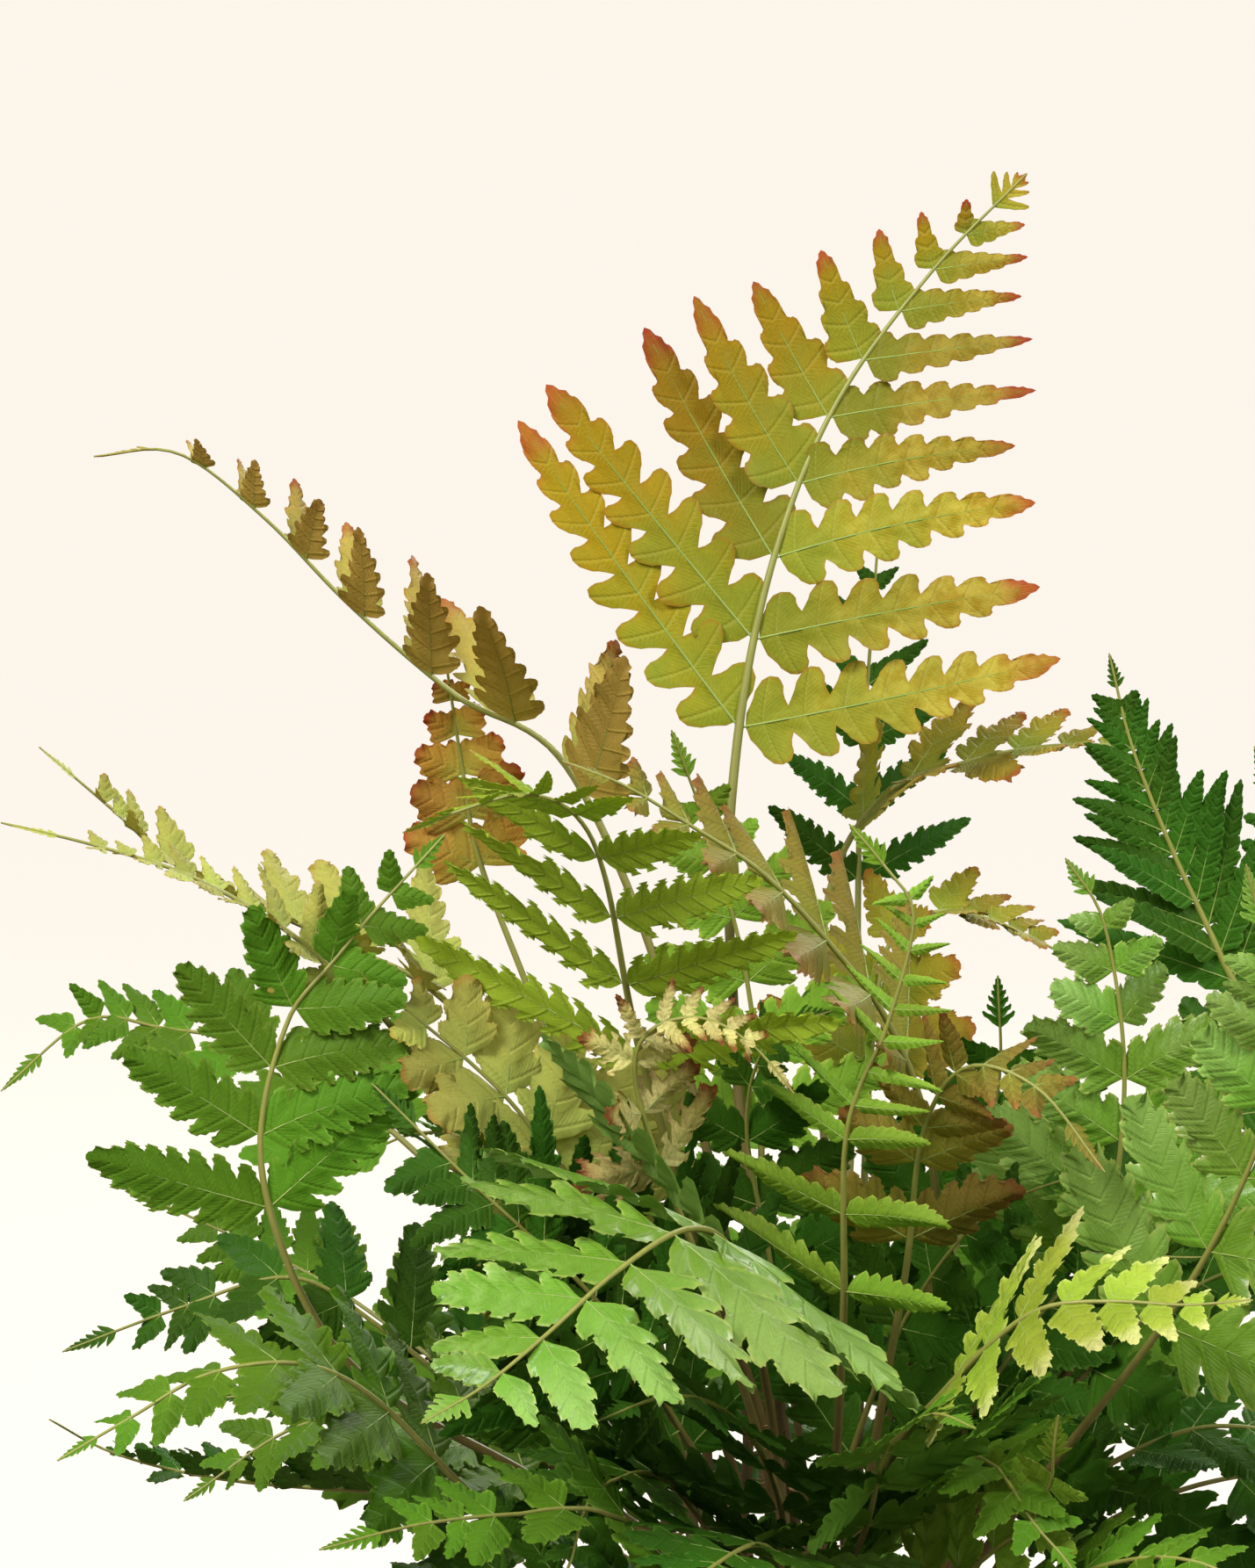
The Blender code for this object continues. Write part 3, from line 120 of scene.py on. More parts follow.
# Each frond: leaf finish, record slot, leaflet pairs, longest leaflet, bare share of its length,
# leaflet fold-up and angle to the rib in degrees, direction the upper side faces, and the points
# its rib passes through after leaving the rootstock. Most of these points were turned into
# millimetres by another program.
FRONDS = {
    "copper_tall": ("tall", "olive_leaf", 9, 118, 0.62, 4, 62, (0.0, -1.0, 0.1), (
        (-11, 15, 258), (-21, 25, 369), (-19, 32, 429), (-8, 38, 485),
        (11, 45, 532), (40, 50, 572), (69, 48, 602))),
    "copper_left_high": ("copper", "copper_leaf", 7, 60, 0.62, 42, 60, (0.35, 0.0, 1.0), (
        (-16, 5, 233), (-37, 10, 344), (-69, 10, 423), (-103, 5, 446),
        (-134, 0, 473), (-159, -5, 499), (-184, -10, 518), (-208, -15, 517))),
    "copper_left_small": ("red_copper", "copper_leaf", 5, 21, 0.80, 5, 52, (0.1, -1.0, 0.1), (
        (-45, 35, 255), (-80, 45, 348), (-97, 45, 393), (-102, 40, 421), (-108, 35, 462))),
    "copper_left_low": ("straw", "olive_leaf", 7, 40, 0.66, 32, 58, (0.25, -0.3, 1.0), (
        (-30, -10, 236), (-71, -22, 321), (-107, -28, 360), (-130, -30, 373),
        (-158, -32, 386), (-183, -36, 399), (-200, -42, 415), (-221, -48, 434))),
    "copper_left_tip": ("straw", "olive_leaf", 5, 22, 0.72, 20, 54, (0.2, -0.4, 1.0), (
        (-48, -30, 240), (-91, -55, 313), (-123, -66, 360), (-148, -72, 383),
        (-175, -76, 399), (-201, -80, 408), (-228, -84, 415))),
    "lime_front": ("lime", "lime_leaf", 7, 66, 0.62, 8, 66, (0.4, 0.5, 0.8), (
        (-9, -30, 214), (-33, -60, 296), (-49, -80, 352), (-58, -108, 401),
        (-66, -125, 420), (-79, -140, 427), (-95, -150, 424), (-112, -158, 418))),
    "copper_front": ("brown", "copper_leaf", 7, 54, 0.62, 6, 62, (0.3, -0.4, 0.8), (
        (12, -20, 199), (36, -35, 272), (35, -50, 320), (23, -62, 355), (6, -75, 379),
        (-14, -88, 401), (-34, -98, 415), (-53, -105, 427), (-70, -110, 434))),
    "copper_right": ("olive", "olive_leaf", 6, 44, 0.74, 14, 62, (-0.1, -0.25, 1.0), (
        (12, 50, 252), (8, 70, 331), (11, 72, 383), (28, 70, 412),
        (52, 66, 422), (74, 62, 427), (94, 58, 428), (116, 55, 426))),
    "green_back_thin": ("dark", "dark_leaf", 6, 40, 0.70, 4, 58, (0.5, -0.85, 0.1), (
        (15, 80, 247), (20, 100, 328), (21, 105, 383), (22, 108, 416), (28, 112, 501))),
    "green_right_upright": ("dark", "dark_leaf", 7, 46, 0.73, 6, 42, (-0.1, -1.0, 0.2), (
        (38, -15, 184), (88, -30, 266), (123, -38, 321), (128, -42, 352),
        (119, -44, 374), (105, -46, 404), (93, -48, 434), (86, -50, 461))),
    "green_right_edge": ("dark", "dark_leaf", 6, 42, 0.66, 8, 56, (-0.5, -0.8, 0.3), (
        (50, 10, 192), (110, 15, 285), (147, 20, 350), (148, 20, 390), (136, 20, 430))),
    "green_right_glossy": ("glossy", "green_leaf", 7, 50, 0.58, 8, 62, (-0.1, -1.0, 0.4), (
        (42, -25, 213), (81, -50, 282), (90, -62, 334), (84, -68, 383), (72, -72, 404))),
    "green_right_near": ("glossy", "green_leaf", 6, 50, 0.58, 8, 62, (-0.2, -0.9, 0.5), (
        (45, -60, 194), (98, -110, 279), (121, -135, 334), (124, -145, 369), (114, -152, 409))),
    "lime_slender": ("fresh", "lime_leaf", 7, 50, 0.55, 6, 72, (-0.5, -0.8, 0.2), (
        (7, -45, 204), (9, -85, 275), (9, -104, 330), (20, -110, 361),
        (27, -113, 391), (19, -114, 405), (9, -115, 417))),
    "green_front_glossy": ("glossy", "green_leaf", 7, 72, 0.53, 2, 60, (0.1, -0.6, 0.8), (
        (-7, -45, 204), (-14, -80, 262), (-23, -115, 298), (-36, -150, 310),
        (-55, -185, 304), (-73, -212, 292), (-89, -232, 282), (-104, -250, 276))),
    "lime_right_front": ("pale", "lime_leaf", 7, 44, 0.66, 4, 62, (0.1, -0.6, 0.8), (
        (14, -60, 194), (22, -105, 239), (34, -130, 261), (47, -148, 279),
        (60, -158, 290), (78, -166, 293), (96, -172, 293), (114, -176, 295))),
    "green_left": ("green", "green_leaf", 7, 50, 0.67, 4, 62, (0.15, -1.0, 0.2), (
        (-30, -20, 185), (-81, -45, 222), (-121, -60, 248), (-143, -70, 275),
        (-156, -76, 318), (-149, -74, 356), (-134, -70, 377), (-104, -62, 410))),
    "green_left_low": ("green", "green_leaf", 7, 42, 0.58, 4, 60, (0.0, -0.45, 0.9), (
        (-33, -40, 177), (-71, -70, 199), (-96, -90, 225), (-122, -105, 255),
        (-142, -115, 267), (-167, -124, 266), (-188, -130, 255), (-208, -136, 244))),
    "green_left_bottom": ("dark", "dark_leaf", 7, 36, 0.42, 38, 60, (0.0, 0.1, 1.0), (
        (-29, 10, 165), (-59, 25, 186), (-104, 28, 201), (-136, 26, 203),
        (-176, 24, 207), (-207, 22, 215), (-227, 20, 226))),
    "green_front_left": ("green", "green_leaf", 6, 50, 0.46, 2, 62, (0.1, -0.5, 0.85), (
        (-15, -70, 184), (-34, -120, 215), (-55, -150, 231), (-79, -168, 236),
        (-107, -182, 236), (-133, -195, 232))),
    "green_front_bottom": ("dark", "dark_leaf", 6, 50, 0.42, 0, 62, (0.0, -0.5, 0.9), (
        (-4, -80, 183), (-10, -130, 214), (-18, -165, 227), (-32, -200, 227),
        (-49, -225, 219), (-64, -240, 204))),
    "green_left_far": ("green", "green_leaf", 6, 40, 0.62, 12, 58, TOP, (
        (-40, 35, 214), (-94, 70, 276), (-139, 90, 315), (-172, 98, 331),
        (-199, 98, 336), (-222, 94, 339), (-248, 82, 318))),
    "green_left_behind": ("green", "green_leaf", 6, 52, 0.44, 6, 62, TOP, (
        (-40, 40, 178), (-89, 90, 212), (-132, 125, 239), (-161, 140, 254), (-220, 155, 279))),
    "green_left_behind_low": ("dark", "dark_leaf", 6, 48, 0.40, 6, 62, TOP, (
        (-34, 35, 160), (-78, 80, 191), (-118, 110, 208), (-155, 130, 214), (-187, 140, 210))),
    "copper_unfurling": ("crinkled", "copper_leaf", 6, 26, 0.70, 14, 64, (0.2, -0.7, 0.6), (
        (-10, -45, 217), (-31, -80, 287), (-46, -100, 329), (-50, -106, 349),
        (-45, -110, 360), (-31, -112, 363), (-17, -112, 355), (-6, -112, 342))),
    "copper_pale_left": ("straw", "olive_leaf", 6, 46, 0.60, 10, 62, (0.2, -0.7, 0.6), (
        (-19, -20, 212), (-45, -40, 273), (-77, -58, 322), (-96, -64, 344), (-129, -72, 372))),
    "green_dark_left": ("dark", "dark_leaf", 6, 54, 0.48, 6, 62, (0.2, -0.7, 0.6), (
        (-17, -40, 195), (-41, -70, 247), (-61, -85, 280), (-95, -100, 315), (-123, -106, 344))),
    "green_right_low": ("fresh", "lime_leaf", 6, 48, 0.44, 4, 62, (0.0, -0.8, 0.5), (
        (19, -80, 178), (39, -120, 207), (54, -145, 227), (61, -160, 245), (63, -170, 263))),
    "green_right_bottom": ("green", "green_leaf", 6, 50, 0.42, 4, 62, (0.0, -0.5, 0.9), (
        (24, -80, 173), (53, -130, 202), (79, -160, 221), (101, -180, 225), (122, -195, 214))),
    "green_right_far": ("green", "green_leaf", 6, 54, 0.44, 8, 62, TOP, (
        (45, 20, 204), (86, 35, 268), (132, 45, 307), (176, 50, 320), (219, 50, 309))),
    "green_right_mid": ("dark", "dark_leaf", 6, 54, 0.42, 6, 62, (-0.1, -0.6, 0.9), (
        (42, -30, 193), (80, -60, 255), (118, -80, 287), (161, -95, 294), (199, -105, 278))),
    "green_right_wide": ("dark", "dark_leaf", 6, 52, 0.38, 6, 62, TOP, (
        (44, 0, 160), (89, 5, 196), (134, 5, 212), (180, 0, 210), (222, -5, 193))),
    "green_middle": ("dark", "dark_leaf", 6, 50, 0.50, 6, 62, (-0.2, -0.7, 0.6), (
        (1, 0, 208), (-9, -10, 275), (-17, -20, 321), (-10, -35, 349), (7, -50, 358))),
    "lime_middle": ("fresh", "lime_leaf", 6, 46, 0.60, 8, 60, (0.1, -0.9, 0.2), (
        (-11, 20, 257), (-12, 22, 316), (-16, 18, 359), (-26, 10, 399), (-39, 0, 436))),
    "green_middle_right": ("dark", "dark_leaf", 6, 48, 0.46, 6, 62, (-0.1, -0.7, 0.7), (
        (9, -20, 199), (23, -40, 254), (40, -55, 288), (57, -65, 305), (79, -75, 315))),
    "green_front_middle": ("dark", "dark_leaf", 6, 48, 0.46, 4, 62, (0.0, -0.6, 0.8), (
        (-5, -60, 194), (-12, -110, 235), (-25, -150, 260), (-41, -180, 270), (-60, -205, 268))),
    "green_front_right": ("green", "green_leaf", 6, 46, 0.46, 4, 62, (0.0, -0.6, 0.8), (
        (6, -70, 184), (14, -120, 222), (18, -160, 252), (28, -190, 267), (38, -215, 268))),
    "green_right_back": ("dark", "dark_leaf", 6, 50, 0.46, 6, 62, TOP, (
        (42, 60, 182), (78, 100, 244), (110, 120, 283), (142, 130, 310), (170, 135, 315))),
    "green_left_under": ("dark", "dark_leaf", 6, 46, 0.44, 4, 62, TOP, (
        (-17, -30, 161), (-51, -70, 189), (-80, -95, 202), (-109, -110, 201), (-136, -118, 190))),
    "green_left_mid": ("dark", "dark_leaf", 6, 46, 0.50, 8, 62, TOP, (
        (-32, 15, 178), (-82, 25, 216), (-128, 25, 254), (-154, 22, 269),
        (-188, 18, 260), (-222, 12, 248))),
    "copper_droop": ("brown", "copper_leaf", 5, 34, 0.62, 4, 60, (0.1, -0.7, 0.7), (
        (18, -45, 217), (27, -75, 286), (31, -90, 328), (42, -102, 348),
        (61, -115, 344), (79, -125, 322))),
    "green_right_inner": ("dark", "dark_leaf", 6, 52, 0.46, 6, 62, (-0.1, -0.9, 0.3), (
        (21, 10, 184), (37, 15, 250), (52, 12, 296), (59, 6, 331), (58, 0, 363))),
    "olive_right_back": ("olive", "olive_leaf", 6, 34, 0.66, 20, 62, (-0.1, -0.3, 1.0), (
        (19, 40, 227), (22, 55, 319), (28, 60, 365), (41, 60, 376),
        (57, 58, 375), (76, 55, 367), (92, 50, 358))),
    "green_back_left": ("green", "green_leaf", 6, 56, 0.42, 6, 62, (0.3, 0.3, 1.0), (
        (-29, 70, 193), (-56, 130, 253), (-85, 170, 284), (-121, 200, 289), (-154, 220, 271))),
    "green_back": ("green", "green_leaf", 6, 56, 0.42, 6, 62, (0.0, 0.3, 1.0), (
        (-4, 70, 193), (-11, 130, 253), (-16, 180, 289), (-18, 220, 298), (-18, 260, 281))),
    "green_back_right": ("dark", "dark_leaf", 6, 56, 0.42, 6, 62, (-0.3, 0.3, 1.0), (
        (26, 70, 193), (54, 120, 254), (85, 160, 297), (122, 190, 317), (163, 215, 311))),
    "green_back_right_low": ("green", "green_leaf", 6, 52, 0.38, 4, 62, (-0.2, 0.2, 1.0), (
        (35, 70, 166), (74, 130, 196), (118, 170, 214), (165, 200, 209), (203, 220, 181))),
    "green_back_low": ("dark", "dark_leaf", 6, 52, 0.38, 4, 62, (0.0, 0.2, 1.0), (
        (7, 80, 163), (18, 140, 194), (29, 190, 208), (34, 230, 200), (37, 265, 169))),
    "green_back_left_low": ("dark", "dark_leaf", 6, 52, 0.38, 4, 62, (0.2, 0.2, 1.0), (
        (-20, 70, 166), (-50, 130, 193), (-85, 180, 206), (-122, 210, 195), (-153, 235, 166))),
}

# The low fronds, which stand round the others and fill the plant under them.
LOW_FRONDS = {
    "low_front_left": ("dark", "dark_leaf", 8, 60, 0.40, 8, 62, (0.0, -0.6, 1.0), (
        (-20, -62, 190), (-40, -108, 232), (-58, -146, 238), (-72, -180, 214))),
    "low_front_right": ("green", "green_leaf", 8, 58, 0.40, 8, 62, (0.0, -0.6, 1.0), (
        (20, -58, 192), (34, -102, 236), (50, -140, 242), (68, -172, 220))),
    "low_middle_left": ("dark", "dark_leaf", 8, 54, 0.48, 8, 60, (0.2, -0.9, 0.8), (
        (-34, -36, 216), (-52, -50, 272), (-66, -64, 304), (-86, -80, 318))),
    "low_middle_right": ("dark", "dark_leaf", 8, 54, 0.46, 8, 60, (-0.2, -0.9, 0.8), (
        (38, -34, 212), (62, -48, 262), (84, -60, 286), (112, -72, 290))),
    "low_left": ("green", "green_leaf", 8, 56, 0.40, 8, 62, (0.3, -0.4, 1.0), (
        (-62, -16, 196), (-108, -22, 232), (-146, -28, 234), (-182, -34, 212))),
    "low_right": ("dark", "dark_leaf", 8, 56, 0.40, 8, 62, (-0.3, -0.4, 1.0), (
        (62, -18, 196), (108, -26, 230), (146, -36, 230), (180, -46, 208))),
    "low_back_left": ("dark", "dark_leaf", 8, 54, 0.42, 8, 62, (0.2, 0.3, 1.0), (
        (-44, 50, 196), (-76, 90, 230), (-104, 124, 232), (-132, 154, 210))),
    "low_back_right": ("green", "green_leaf", 8, 54, 0.42, 8, 62, (-0.2, 0.3, 1.0), (
        (46, 48, 196), (82, 84, 226), (112, 114, 224), (140, 142, 200))),
}
ALL_FRONDS = {**FRONDS, **LOW_FRONDS}


# Leaflet angles at the blade's base and tip, left then right, where the two sides differ.
SIDE_ANGLES = {
    "copper_tall": ((46, 66), (70, 34)),
    "green_front_glossy": ((84, 66), (58, 54)),
}
# Share of the longest leaflet at the blade's base, and how fast they shorten, left then right.
SIDE_TAPERS = {"copper_tall": ((1.0, 1.25), (0.88, 0.8))}
# How far the leaflets hang, left then right; below 0 they rise.
SIDE_DROOPS = {"copper_tall": (-0.03, 0.09)}
DROOP = 0.08
# Most lobes along one edge of a leaflet.
LOBES = {"copper_tall": 3, "green_front_glossy": 3, "green_left": 3, "lime_front": 3}
PLAIN_LOBES = 2
# Fronds behind and under the others, whose leaflets have one lobe an edge.
PLAINEST = {
    "green_back", "green_back_left", "green_back_right", "green_back_low", "green_back_left_low",
    "green_back_right_low", "green_right_far", "green_right_mid", "green_right_wide",
    "green_right_back", "green_right_inner", "green_left_under", "green_left_mid",
    "olive_right_back", "green_dark_left", *LOW_FRONDS}

# What is tried in turn for a leaflet that would touch another piece: extra fold in degrees,
# extra angle to the rib in degrees, and share of the length.
WAYS_CLEAR = [
    (fold, swing, share)
    for share in (1.0, 0.8, 0.6, 0.42)
    for fold, swing in (
        (0, 0), (10, 0), (-10, 0), (20, 0), (-20, 0), (0, -14), (32, 0), (-32, 0),
        (14, -14), (-14, -14), (46, 0), (-46, 0), (24, -26), (-24, -26), (60, -8), (-60, -8))
]


def unit(vector):
    return vector / max(np.linalg.norm(vector), 1e-9)


def units(vectors):
    return vectors / np.maximum(np.linalg.norm(vectors, axis=-1, keepdims=True), 1e-9)


def smooth_line(knots):
    """A Catmull-Rom line through the knots, resampled evenly."""
    knots = np.array(knots, float)
    padded = np.vstack([2 * knots[0] - knots[1], knots, 2 * knots[-1] - knots[-2]])
    line = []
    for p0, p1, p2, p3 in zip(padded, padded[1:], padded[2:], padded[3:]):
        for t in np.arange(0, 1, 0.1):
            line.append(0.5 * (2 * p1 + (p2 - p0) * t + (2 * p0 - 5 * p1 + 4 * p2 - p3) * t ** 2
                               + (3 * p1 - p0 - 3 * p2 + p3) * t ** 3))
    line.append(knots[-1])
    line = np.array(line)
    reached = np.concatenate([[0], np.cumsum(np.linalg.norm(np.diff(line, axis=0), axis=1))])
    wanted = np.linspace(0, reached[-1], max(12, round(reached[-1] / SAMPLE)))
    return np.stack([np.interp(wanted, reached, line[:, axis]) for axis in range(3)], axis=1)


def place_stalks():
    """Where each stalk stands in the rootstock: towards its own blade, then spread to the pitch."""
    places = []
    for spec in FRONDS.values():
        towards = np.array(spec[-1][1][:2], float) + np.array(spec[-1][-1][:2], float)
        reach = min(1.0, np.linalg.norm(towards) / FULL_REACH)
        places.append(unit(towards) * (CROWN_HEART + (CROWN_SPREAD - CROWN_HEART) * reach))
    places = np.array(places)
    for _ in range(SPREAD_ROUNDS):
        for i in range(len(places)):
            apart = places[i] - places
            distance = np.linalg.norm(apart, axis=1)
            distance[i] = 1e9
            for j in np.flatnonzero(distance < STALK_PITCH):
                push = unit(apart[j]) * (STALK_PITCH - distance[j]) * 0.5
                places[i] += push
                places[j] -= push
        reach = np.linalg.norm(places, axis=1)
        places *= np.minimum(1.0, CROWN_SPREAD / np.maximum(reach, 1e-9))[:, None]
    low = [unit(np.array(spec[-1][0][:2], float)) * LOW_RING for spec in LOW_FRONDS.values()]
    return np.vstack([places, low])


def rib_lines():
    """The centre line of each frond, straight in its socket, with the lines eased apart."""
    lines = []
    for place, spec in zip(place_stalks(), ALL_FRONDS.values()):
        base = np.array([*place, SOCKET_BOTTOM])
        lean = unit(np.array([*(place / SPLAY_DEPTH), 1.0]))
        lines.append(smooth_line([base, base + lean * STRAIGHT, *spec[-1]]))
        held = np.linalg.norm(lines[-1] - base, axis=1) < STRAIGHT + 0.5
        along = np.linalg.norm(lines[-1][held] - base, axis=1)
        lines[-1][held] = base + lean * along[:, None]
    owner = np.concatenate([np.full(len(line), k) for k, line in enumerate(lines)])
    step = np.concatenate([np.arange(len(line)) for line in lines])
    starts = np.concatenate([[0], np.cumsum([len(line) for line in lines])])
    points = np.vstack(lines)
    free = np.clip((step * SAMPLE - STRAIGHT - 1) / FREE_LENGTH, 0, 1)
    kernel = np.array([1, 2, 3, 4, 5, 6, 5, 4, 3, 2, 1], float)
    kernel /= kernel.max()
    for _ in range(PUSH_ROUNDS):
        tree = KDTree(len(points))
        for k, point in enumerate(points):
            tree.insert(point, k)
        tree.balance()
        push = np.zeros_like(points)
        for k, point in enumerate(points):
            if free[k] == 0:
                continue
            wanted = FOOT_CLEARANCE + (LINE_CLEARANCE - FOOT_CLEARANCE) * free[k]
            for _, other, distance in tree.find_range(point, wanted):
                if owner[other] != owner[k]:
                    push[k] += unit(point - points[other]) * (wanted - distance) * PUSH_SHARE
        if not push.any():
            break
        for first, last in zip(starts, starts[1:]):
            for axis in range(3):
                eased = np.convolve(push[first:last, axis], kernel, mode="same")
                push[first:last, axis] = np.clip(eased, -PUSH_LIMIT, PUSH_LIMIT)
        points = points + push * free[:, None]
    return [points[first:last] for first, last in zip(starts, starts[1:])]


class Rib:
    """A centre line with its upper side's direction, read by distance along it."""

    def __init__(self, line, facing):
        self.line = line
        steps = np.linalg.norm(np.diff(line, axis=0), axis=1)
        self.reached = np.concatenate([[0], np.cumsum(steps)])
        self.length = self.reached[-1]
        self.facing = np.array(facing, float)

    def point(self, distance):
        return np.array([np.interp(distance, self.reached, self.line[:, axis]) for axis in range(3)])

    def frame(self, distance):
        """(along, upper side, left side) at a distance."""
        near = min(distance, self.length - 1.0)
        step = 1.0 if near < SOCKET_LENGTH else 4.0
        along = unit(self.point(min(near + step, self.length)) - self.point(max(near - step, 0)))
        normal = unit(self.facing - along * self.facing.dot(along))
        return along, normal, np.cross(normal, along)


def lobe_places(lobes):
    """Shares of a solid leaflet's length where its lobes peak and where the notches lie."""
    peaks = [(k + 0.36) / (lobes + 0.2) + 0.03 for k in range(lobes)]
    notches = [0.5 * (a + b) + 0.02 for a, b in zip(peaks, peaks[1:])]
    return peaks, notches


def half_width(share):
    """A leaflet's half width along its length, as a share of its widest."""
    return (1 - np.minimum(share, 1.0) ** 1.7) ** 0.85


class Leaflet:
    """The path and outline of one leaflet of the solids."""

    def __init__(self, root, middle, length, along, width_way, droop, sweep, roll, width, lobes, wave):
        self.root = root
        self.middle = middle
        self.length = length
        self.along = along
        self.width_way = width_way
        self.sweep = sweep
        self.droop = droop
        self.roll = roll
        self.width = width
        self.lobes = lobes
        peaks, notches = lobe_places(lobes)
        self.ridge = []
        for share in notches:
            centre, _, _, normal = self.path(np.array([share]))
            self.ridge.append((centre[0], normal[0] * RIDGE * (1 - 0.35 * share)))
        self.edges = []
        for sign, waves in ((1, wave[0]), (-1, wave[1])):
            edge = []
            for k, peak in enumerate(peaks):
                centre, _, outward, normal = [made[0] for made in self.path(np.array([peak]))]
                reach = width * half_width(peak)
                edge.append(centre + outward * sign * reach + normal * reach * waves[k])
                if k < len(notches):
                    centre, _, outward, _ = [made[0] for made in self.path(np.array([notches[k]]))]
                    edge.append(centre + outward * sign * NOTCH * width * half_width(notches[k]))
            self.edges.append(edge)
        self.tip = self.path(np.array([1.0]))[0][0]
        self.normal = self.path(np.array([0.3]))[3][0]

    def path(self, share):
        """Centres and the directions ahead, outward and to the upper side, at shares of the length."""
        share = share[:, None]
        centre = self.middle + self.length * (self.along * share + (self.sweep + self.droop) * share ** 2)
        ahead = units(self.along + 2 * (self.sweep + self.droop) * share)
        outward = units(self.width_way - ahead * (ahead @ self.width_way)[:, None])
        normal = np.cross(ahead, outward)
        turn = self.roll * share
        return (centre, ahead, outward * np.cos(turn) + normal * np.sin(turn),
                normal * np.cos(turn) - outward * np.sin(turn))

    def faces(self, top_root, low_root, first, last, points):
        """Adds the points after the root and returns the faces, alike above and below."""
        ridge_top = [top_root]
        ridge_low = [low_root]
        for centre, rise in self.ridge:
            ridge_top.append(len(points))
            points.append(centre + rise)
            ridge_low.append(len(points))
            points.append(centre - rise)
        borders = []
        for edge, corner in zip(self.edges, (first, last)):
            border = [corner]
            for point in edge:
                border.append(len(points))
                points.append(point)
            borders.append(border)
        tip = len(points)
        points.append(self.tip)
        faces = []
        for ridge, border, turned_over in (
                (ridge_top, borders[0], False), (ridge_top, borders[1], True),
                (ridge_low, borders[0], True), (ridge_low, borders[1], False)):
            for k in range(self.lobes):
                notch, peak = border[2 * k], border[2 * k + 1]
                ahead = ridge[k + 1] if k + 1 < len(ridge) else tip
                side = [(ridge[k], peak, notch), (ridge[k], ahead, peak)]
                if k + 1 < len(ridge):
                    side.append((ahead, border[2 * k + 2], peak))
                faces += [face[::-1] if turned_over else face for face in side]
        return faces

    def hull(self, margin):
        """The leaflet with both faces moved outward, to keep others at a distance."""
        points = list(self.root)
        faces = self.faces(1, 3, 0, 2, points)
        lift = self.normal * margin
        count = len(points)
        both = [point + lift for point in points] + [point - lift for point in points]
        ridges = 2 * len(self.ridge)
        per_edge = len(self.edges[0])
        first = [0] + [4 + ridges + k for k in range(per_edge)] + [count - 1]
        last = [2] + [4 + ridges + per_edge + k for k in range(per_edge)] + [count - 1]
        walls = []
        for border in (first, last):
            for a, b in zip(border, border[1:]):
                walls.append((a, b, b + count))
                walls.append((a, b + count, a + count))
        half = len(faces) // 2
        low = [tuple(corner + count for corner in face) for face in faces[half:]]
        return both, faces[:half] + low + walls


class Space:
    """What is already placed, asked whether a new piece would touch it."""

    def __init__(self):
        self.trees = []
        self.low = []
        self.high = []

    def add(self, points, faces):
        points = np.array(points)
        self.trees.append(BVHTree.FromPolygons([Vector(p) for p in points], faces, all_triangles=True))
        self.low.append(points.min(axis=0))
        self.high.append(points.max(axis=0))

    def touches(self, points, faces, skip=()):
        points = np.array(points)
        low = points.min(axis=0)
        high = points.max(axis=0)
        near = np.flatnonzero(
            (np.array(self.low) < high).all(axis=1) & (np.array(self.high) > low).all(axis=1))
        near = [k for k in near if k not in skip]
        if not near:
            return False
        tree = BVHTree.FromPolygons([Vector(p) for p in points], faces, all_triangles=True)
        return any(tree.overlap(self.trees[k]) for k in near)


